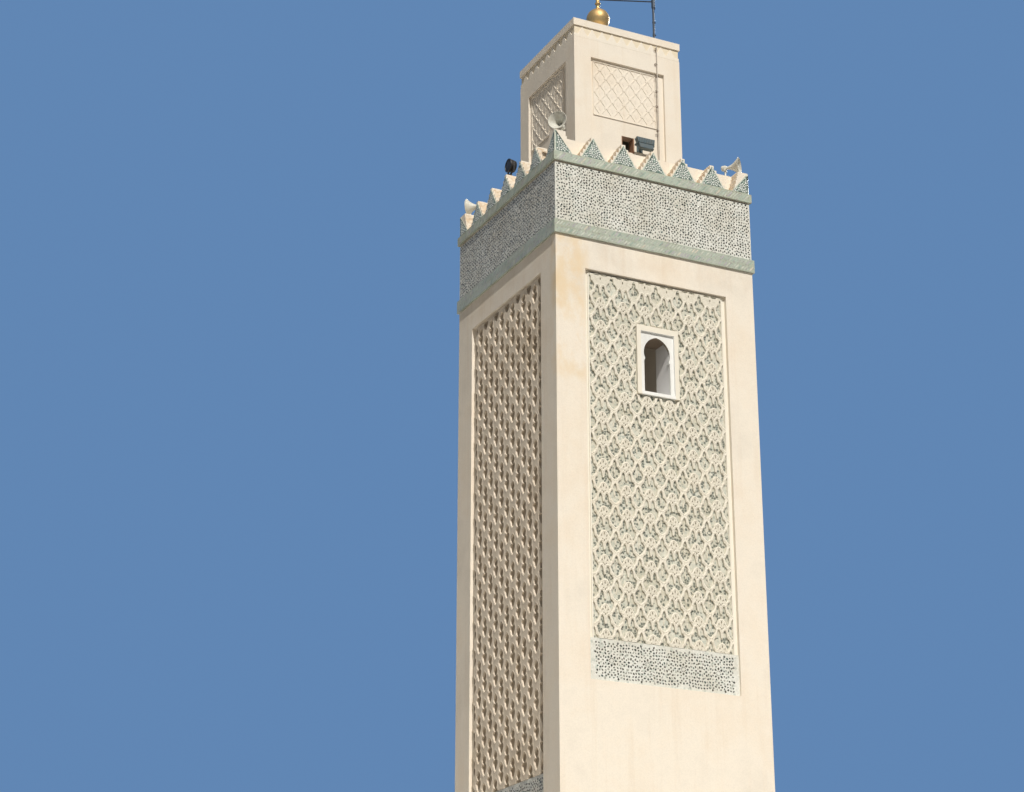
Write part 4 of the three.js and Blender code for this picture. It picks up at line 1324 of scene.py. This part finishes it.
def hornForm(height):
    sizes = horns
    form = bmesh.new()
    ahead = turnBy(90, "X")       # along the axis is along -Y
    edge, deep = sizes["mouth"] - sizes["rim"], sizes["long"] - sizes["rim"]
    outer, inner = [], []
    for i in range(sizes["bellSteps"] + 1):
        share = i / sizes["bellSteps"]
        radius = sizes["throat"] + (edge - sizes["throat"]) * share ** sizes["curve"]
        outer.append((radius, deep * share))
        inner.append((radius - sizes["wall"], deep * share))
    rim = []
    for i in range(sizes["rimSteps"] + 1):
        angle = math.radians(sizes["rimFrom"] + sizes["rimTurn"] * i / sizes["rimSteps"])
        rim.append((edge + sizes["rim"] * math.cos(angle), deep + sizes["rim"] * math.sin(angle)))
    inside = [(radius, along + sizes["insideStep"]) for radius, along in inner[:2]] + inner[2:-1]
    addTurned(form, [(0, sizes["back"])] + outer[:-1] + rim, sizes["sides"], ahead)
    addTurned(form, [(0, sizes["insideBack"])] + inside + [rim[-1]], sizes["sides"], ahead, 1)
    addTurned(form, sizes["driver"], sizes["driverSides"], ahead)
    addTurned(form, sizes["plug"], sizes["plugSides"], ahead, 1)
    fall = -(height - sizes["foot"])
    addTurned(form, post(sizes["stub"], fall + sizes["stubFoot"], sizes["stubTop"]), sizes["stubSides"],
              moveBy(0, sizes["stubAt"], 0))
    near, far, half = sizes["yokeNear"], sizes["yokeFar"], sizes["yokeHalf"]
    for side in (-1, 1):
        middle = side * sizes["yokeAt"]
        addBlock(form, (middle - half, near, sizes["yokeLow"]), (middle + half, far, sizes["yokeHigh"]))
        outwards = moveBy(middle + side * half, 0, 0) @ turnBy(side * 90, "Y")
        addBolts(form, [(0, sizes["stubAt"])], *sizes["yokeBolt"], outwards)
    reach = sizes["yokeAt"] + half
    addBlock(form, (-reach, near, sizes["barLow"]), (reach, far, sizes["barHigh"]))
    flange, top = sizes["flange"], fall + sizes["flangeHigh"]
    addBlock(form, (-flange, sizes["flangeNear"], fall + sizes["flangeLow"]),
             (flange, sizes["flangeFar"], top))
    addBolts(form, cornersOf(sizes["boltsAcross"], sizes["boltsAlong"]), *sizes["flangeBolt"],
             moveBy(0, 0, top))
    return form


def makeHorns():
    for corner, (signX, signY, turn, height) in horns["places"].items():
        form = hornForm(height)
        place = moveBy(signX * horns["corner"], signY * horns["corner"], height) @ turnBy(turn, "Z")
        bmesh.ops.transform(form, matrix=place, verts=form.verts)
        piece = smoothPiece("horn_" + corner + "_bell", form, ["hornPaint", "hornInside"])
        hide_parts("horn_" + corner)


makeHorns()
print("horns made")


# Floodlight: a tapered housing seen from behind, tipped back to light the lantern, on an arm from the wall
floodlight = {
    "at": (0.335, -1.800, 27.105), "tiltRadians": -0.19, "wide": 0.262, "narrow": 0.196, "high": 0.160,
    "chamfer": 0.006,
    "slabs": [    # low and top, back and front, drawn in at the ends, look
        (-0.010, 0.160, 0.031, -0.062, 0.0, 0),        # upper shell
        (-0.130, -0.011, 0.031, -0.048, 0.010, 1),     # paler lower shell
        (-0.160, -0.129, 0.031, -0.058, 0.0, 2),       # lip
        (-0.156, 0.156, 0.062, 0.030, -0.004, 0),      # rim round the glass
        (-0.136, 0.136, 0.065, 0.060, 0.020, 1)],      # glass
    "ribs": 9, "ribPitch": 0.050, "ribHalf": 0.004, "ribFront": -0.074, "ribBack": -0.060, "ribLow": 0.010,
    "ribHigh": 0.140, "ribBevel": 0.0015,
    "cheekAt": 0.245, "cheekHalf": 0.005, "cheekFront": -0.02, "armLow": -0.030, "armHigh": 0.012,
    "cheekBolt": (0.013, 0.006), "boltLow": -0.008, "barFront": 0.115, "barBack": 0.125,
    "stemHalf": 0.032, "stemFront": 0.120, "stemSunk": 0.008, "stemBevel": 0.004,
    "wall": -1.4855, "plateHalf": 0.088, "plateThick": 0.011, "plateBevel": 0.003, "boltsAt": (-0.066, 0.066),
    "plateBolt": (0.010, 0.008),
}


def makeFloodlight():
    sizes = floodlight
    form = bmesh.new()
    place = moveBy(*sizes["at"]) @ Matrix.Rotation(sizes["tiltRadians"], 4, "X")

    def halfAt(z):
        return sizes["narrow"] + (sizes["wide"] - sizes["narrow"]) * (z + sizes["high"]) / (2 * sizes["high"])

    for low, top, back, front, inset, look in sizes["slabs"]:
        below, above = halfAt(low) - inset, halfAt(top) - inset
        slab = bmesh.new()
        prism(slab, [(-below, low), (below, low), (above, top), (-above, top)], back, front, sizes["chamfer"])
        addForm(form, slab, place, look)
    for i in range(sizes["ribs"]):
        x = (i - (sizes["ribs"] - 1) / 2) * sizes["ribPitch"]
        addBlock(form, (x - sizes["ribHalf"], sizes["ribFront"], sizes["ribLow"]),
                 (x + sizes["ribHalf"], sizes["ribBack"], sizes["ribHigh"]), place, sizes["ribBevel"])
    x, y, z = sizes["at"]
    low, high = z + sizes["armLow"], z + sizes["armHigh"]
    half, reach = sizes["cheekHalf"], sizes["cheekAt"] + sizes["cheekHalf"]
    for side in (-1, 1):
        middle = x + side * sizes["cheekAt"]
        addBlock(form, (middle - half, y + sizes["cheekFront"], low),
                 (middle + half, y + sizes["barBack"], high))
        outwards = moveBy(x + side * reach, y, z + sizes["boltLow"]) @ turnBy(side * 90, "Y")
        addBolts(form, [(0, 0)], *sizes["cheekBolt"], outwards)
    addBlock(form, (x - reach, y + sizes["barFront"], low), (x + reach, y + sizes["barBack"], high))
    wall, plate = sizes["wall"], sizes["plateHalf"]
    outside = wall - sizes["plateThick"]
    addBlock(form, (x - sizes["stemHalf"], y + sizes["stemFront"], low),
             (x + sizes["stemHalf"], wall - sizes["stemSunk"], high), bevel=sizes["stemBevel"])
    addBlock(form, (x - plate, outside, z - plate), (x + plate, wall, z + plate), bevel=sizes["plateBevel"])
    addBolts(form, cornersOf(sizes["boltsAt"], sizes["boltsAt"]), *sizes["plateBolt"],
             moveBy(x, outside, z) @ turnBy(90, "X"))
    piece = smoothPiece("floodlight_box", form, ["lampPaint", "lampGlass", "rustyTin"])
    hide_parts("floodlight")


makeFloodlight()
print("floodlight made")


# Round lamp on the left parapet: a drum with a bezel, a sunk glass at its outer end, on a yoke and post
drum = {
    "at": (-2.375, 0.440, 26.915), "foot": 26.355, "sides": 48,
    "shell": [
        (0, 0.082), (0.161, 0.082), (0.165, 0.098), (0.180, 0.098), (0.183, 0.093), (0.183, 0.072),
        (0.175, 0.068), (0.171, 0.020), (0.163, 0.014), (0.163, 0.004), (0.169, -0.002), (0.154, -0.074),
        (0.148, -0.092), (0.138, -0.098), (0.055, -0.098), (0.050, -0.086), (0, -0.086)],
    "glass": [(0, 0.080), (0.159, 0.080), (0.113, 0.090), (0, 0.094)],
    "yokeHalf": 0.022, "yokeAt": 0.177, "yokeThick": 0.005, "yokeLow": -0.205, "yokeHigh": 0.026,
    "yokeBolt": (0.014, 0.005), "barReach": 0.181, "barLow": -0.213, "barHigh": -0.203,
    "postSides": 16, "postFoot": 0.008, "postTop": -0.208,
    "plate": (0.068, 0.078), "plateLow": 0.0005, "plateHigh": 0.0115, "plateBolt": (0.009, 0.007),
    "boltsAcross": (-0.048, 0.048), "boltsAlong": (-0.056, 0.056),
}


def makeParapetLamp():
    sizes = drum
    form = bmesh.new()
    place = moveBy(*sizes["at"])
    addTurned(form, sizes["shell"], sizes["sides"], place @ turnBy(-90, "Y"))
    addTurned(form, sizes["glass"], sizes["sides"], place @ turnBy(-90, "Y"), 1)
    fall = sizes["foot"] - sizes["at"][2]
    half, thick, reach = sizes["yokeHalf"], sizes["yokeThick"], sizes["barReach"]
    for side in (-1, 1):
        y = side * sizes["yokeAt"]
        addBlock(form, (-half, y - thick, sizes["yokeLow"]), (half, y + thick, sizes["yokeHigh"]), place)
        outwards = place @ moveBy(0, y + side * thick, 0) @ turnBy(-side * 90, "X")
        addBolts(form, [(0, 0)], *sizes["yokeBolt"], outwards)
    addBlock(form, (-half, -reach, sizes["barLow"]), (half, reach, sizes["barHigh"]), place)
    addTurned(form, post(half, fall + sizes["postFoot"], sizes["postTop"]), sizes["postSides"], place)
    wide, long = sizes["plate"]
    top = fall + sizes["plateHigh"]
    addBlock(form, (-wide, -long, fall + sizes["plateLow"]), (wide, long, top), place)
    addBolts(form, cornersOf(sizes["boltsAcross"], sizes["boltsAlong"]), *sizes["plateBolt"],
             place @ moveBy(0, 0, top))
    piece = smoothPiece("parapet_lamp_drum", form, ["blackPaint", "lampGlass"])
    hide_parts("parapet_lamp")


makeParapetLamp()
print("parapet lamp made")


# Clamps on the mast, and rings that hold the cable off the lantern's front
mastClamps = {
    "at": (0.857, -1.480), "foot": 30.467, "heights": (30.60, 30.98, 31.405), "sides": 24,
    "collar": [(0.028, -0.018), (0.035, -0.018), (0.035, 0.018), (0.028, 0.018)],
    "earFrom": 0.026, "earTo": 0.058, "ears": ((-0.010, -0.002), (0.002, 0.010)), "earHalf": 0.018,
    "earBevel": 0.001, "pin": 0.006, "pinHalf": 0.016, "pinAt": 0.047, "pinSides": 6,
    "boltsAt": (-0.052, 0.052), "bolt": (0.010, 0.008),
}
cableRings = {
    "heights": (27.72, 28.42, 28.86, 29.30, 29.66, 30.10), "leans": (-24, 18), "at": (0.827, -1.573),
    "radius": 0.034, "thick": 0.006, "sides": 20, "tag": (0.835, 0.877), "tagFront": -1.589, "wall": -1.556,
    "tagHalf": 0.012,
}


def makeClamps():
    sizes = mastClamps
    form = bmesh.new()
    low, high = -sizes["earHalf"], sizes["earHalf"]
    for height in sizes["heights"]:
        place = moveBy(*sizes["at"], height)
        addTurned(form, sizes["collar"], sizes["sides"], place, closed=True)
        for near, far in sizes["ears"]:
            addBlock(form, (sizes["earFrom"], near, low), (sizes["earTo"], far, high), place,
                     sizes["earBevel"])
        addTurned(form, post(sizes["pin"], -sizes["pinHalf"], sizes["pinHalf"]), sizes["pinSides"],
                  place @ moveBy(sizes["pinAt"], 0, 0) @ turnBy(90, "X"))
    addBolts(form, cornersOf(sizes["boltsAt"], sizes["boltsAt"]), *sizes["bolt"],
             moveBy(*sizes["at"], sizes["foot"]))
    smoothPiece("mast_clamps", form, ["darkMetal"])


def makeCableRings():
    sizes = cableRings
    form = bmesh.new()
    left, right = sizes["tag"]
    half = sizes["tagHalf"]
    for number, height in enumerate(sizes["heights"]):
        place = moveBy(*sizes["at"], height) @ turnBy(sizes["leans"][number % 2], "Y") @ turnBy(90, "X")
        addTurned(form, roundSection(sizes["radius"], sizes["thick"]), sizes["sides"], place, closed=True)
        addBlock(form, (left, sizes["tagFront"], height - half), (right, sizes["wall"], height + half))
    smoothPiece("cable_rings", form, ["rustyTin"])


makeClamps()
makeCableRings()
print("clamps and rings made")


# Door in the back: upright planks, two ledges with studs, and a ring handle
door = {
    "half": 0.555, "low": 0.203, "high": 2.395, "face": 2.45, "planks": 6, "joint": 0.002, "thick": 0.010,
    "plankSunk": 0.004, "bevel": 0.004, "ledges": (0.423, 1.995), "ledge": 0.16, "ledgeReach": 0.545,
    "ledgeBack": 0.004, "ledgeFront": 0.026, "studStep": 0.155, "studSides": 12,
    "stud": [(0, -0.001), (0.020, -0.001), (0.018, 0.006), (0.011, 0.012), (0, 0.014)],
    "ringAt": (0.36, 1.22), "ring": 0.055, "ringThick": 0.008, "ringSides": 24,
    "staple": (0.335, 0.385), "stapleBack": 0.006, "stapleFront": 0.036, "stapleHeights": (1.262, 1.292),
}


def makeDoor():
    sizes = door
    form = bmesh.new()
    face, half, bevel = sizes["face"], sizes["half"], sizes["bevel"]
    wide = 2 * half / sizes["planks"]
    for i in range(sizes["planks"]):
        left, right = -half + i * wide + sizes["joint"], -half + i * wide + wide - sizes["joint"]
        addBlock(form, (left, face - sizes["plankSunk"], sizes["low"]),
                 (right, face + sizes["thick"], sizes["high"]), bevel=bevel)
    reach, front = sizes["ledgeReach"], face + sizes["ledgeFront"]
    for low in sizes["ledges"]:
        addBlock(form, (-reach, face + sizes["ledgeBack"], low), (reach, front, low + sizes["ledge"]),
                 bevel=bevel)
    out = moveBy(0, front, 0) @ turnBy(-90, "X")
    count = int(2 * half / sizes["studStep"])
    for low in sizes["ledges"]:
        for i in range(count + 1):
            x = (i - count / 2) * sizes["studStep"]
            place = out @ moveBy(x, -(low + sizes["ledge"] / 2), 0)
            addTurned(form, sizes["stud"], sizes["studSides"], place, 1)
    x, z = sizes["ringAt"]
    addTurned(form, roundSection(sizes["ring"], sizes["ringThick"]), sizes["ringSides"],
              moveBy(x, front, z) @ turnBy(90, "X"), 1, closed=True)
    left, right = sizes["staple"]
    low, high = sizes["stapleHeights"]
    addBlock(form, (left, face + sizes["stapleBack"], low), (right, face + sizes["stapleFront"], high),
             bevel=bevel, look=1)
    smoothPiece("door_planks", form, ["timber", "darkMetal"])


makeDoor()
print("door made")


# Carried-over solids get their finishes by parts of their names; of several that fit, the last counts
def dressSolids():
    looks = {
        "parapet": "parapet", "net_panel": "netGround", "mosaic": "bandGround", "window_surround": "white",
        "floor": "concrete", "finial": "brass", "signal_mast": "darkMetal",
        "parapet_lamp": "blackPaint", "lantern_cable": "cableSheath", "horn": "hornPaint",
        "floodlight": "lampPaint", "door_leaf": "timber", "left_net_panel": "sideGroundPaintedShade",
        "right_net_panel": "sideGroundPaintedShade",
    }
    for name, solid in nodes.items():
        look = "plaster"
        for part, key in looks.items():
            if part in name:
                look = key
        solid.data.materials.clear()
        solid.data.materials.append(finish[look])


dressSolids()
print("solids dressed")


# light and floor
def addLamp(name, kind, power):
    lamp = bpy.data.lights.new(name, kind)
    lamp.energy = power
    return lamp, linked(name, lamp)


def makeLight():
    for name, sun in view["suns"].items():
        lamp, holder = addLamp(name, "SUN", sun["power"])
        lamp.angle = math.radians(sun["softness"])
        lamp.color = sun["colour"]
        holder.rotation_euler = Vector(sun["toward"]).to_track_quat("Z", "Y").to_euler()
    glow, inside = addLamp("shaft light", "POINT", view["shaftPower"])
    glow.shadow_soft_size = view["shaftSoftness"]
    inside.location = (0.0, 0.0, view["shaftHeight"])
    inside.visible_camera = False


def makeSky():
    world = bpy.data.worlds.new("sky")
    bpy.context.scene.world = world
    world.use_nodes = True
    tree = world.node_tree
    fill = tree.nodes["Background"]
    setInputs(tree, fill, {"Color": (*view["fillColour"], 1), "Strength": view["fillPower"]})
    backdrop = addNode(tree, "ShaderNodeBackground")
    setInputs(tree, backdrop, {"Color": (*view["backdrop"], 1), "Strength": 1.0})
    seen = addNode(tree, "ShaderNodeLightPath")
    mirrors = calculate(tree, "MULTIPLY", seen.outputs["Is Glossy Ray"], view["backdropInGloss"])
    share = calculate(tree, "MAXIMUM", seen.outputs["Is Camera Ray"], mirrors)
    pick = addNode(tree, "ShaderNodeMixShader")
    setInputs(tree, pick, {0: share, 1: fill.outputs[0], 2: backdrop.outputs[0]})
    feed(tree, pick.outputs[0], tree.nodes["World Output"].inputs["Surface"])
    bpy.context.scene.view_settings.view_transform = "Standard"


def makeFloor():
    side, height = view["floorSide"] / 2, -view["floorDrop"]
    mesh = bpy.data.meshes.new("floor")
    mesh.from_pydata([(x, y, height) for x, y in rectangle(-side, side, -side, side)], [], [(0, 1, 2, 3)])
    floor = linked("floor", mesh)
    material, tree, shader, _ = newMaterial("paleFloor")
    setInputs(tree, shader, {"Base Color": (*view["floorColour"], 1), "Roughness": view["floorRoughness"]})
    mesh.materials.append(material)


makeLight()
makeSky()
makeFloor()
print("light and floor set")
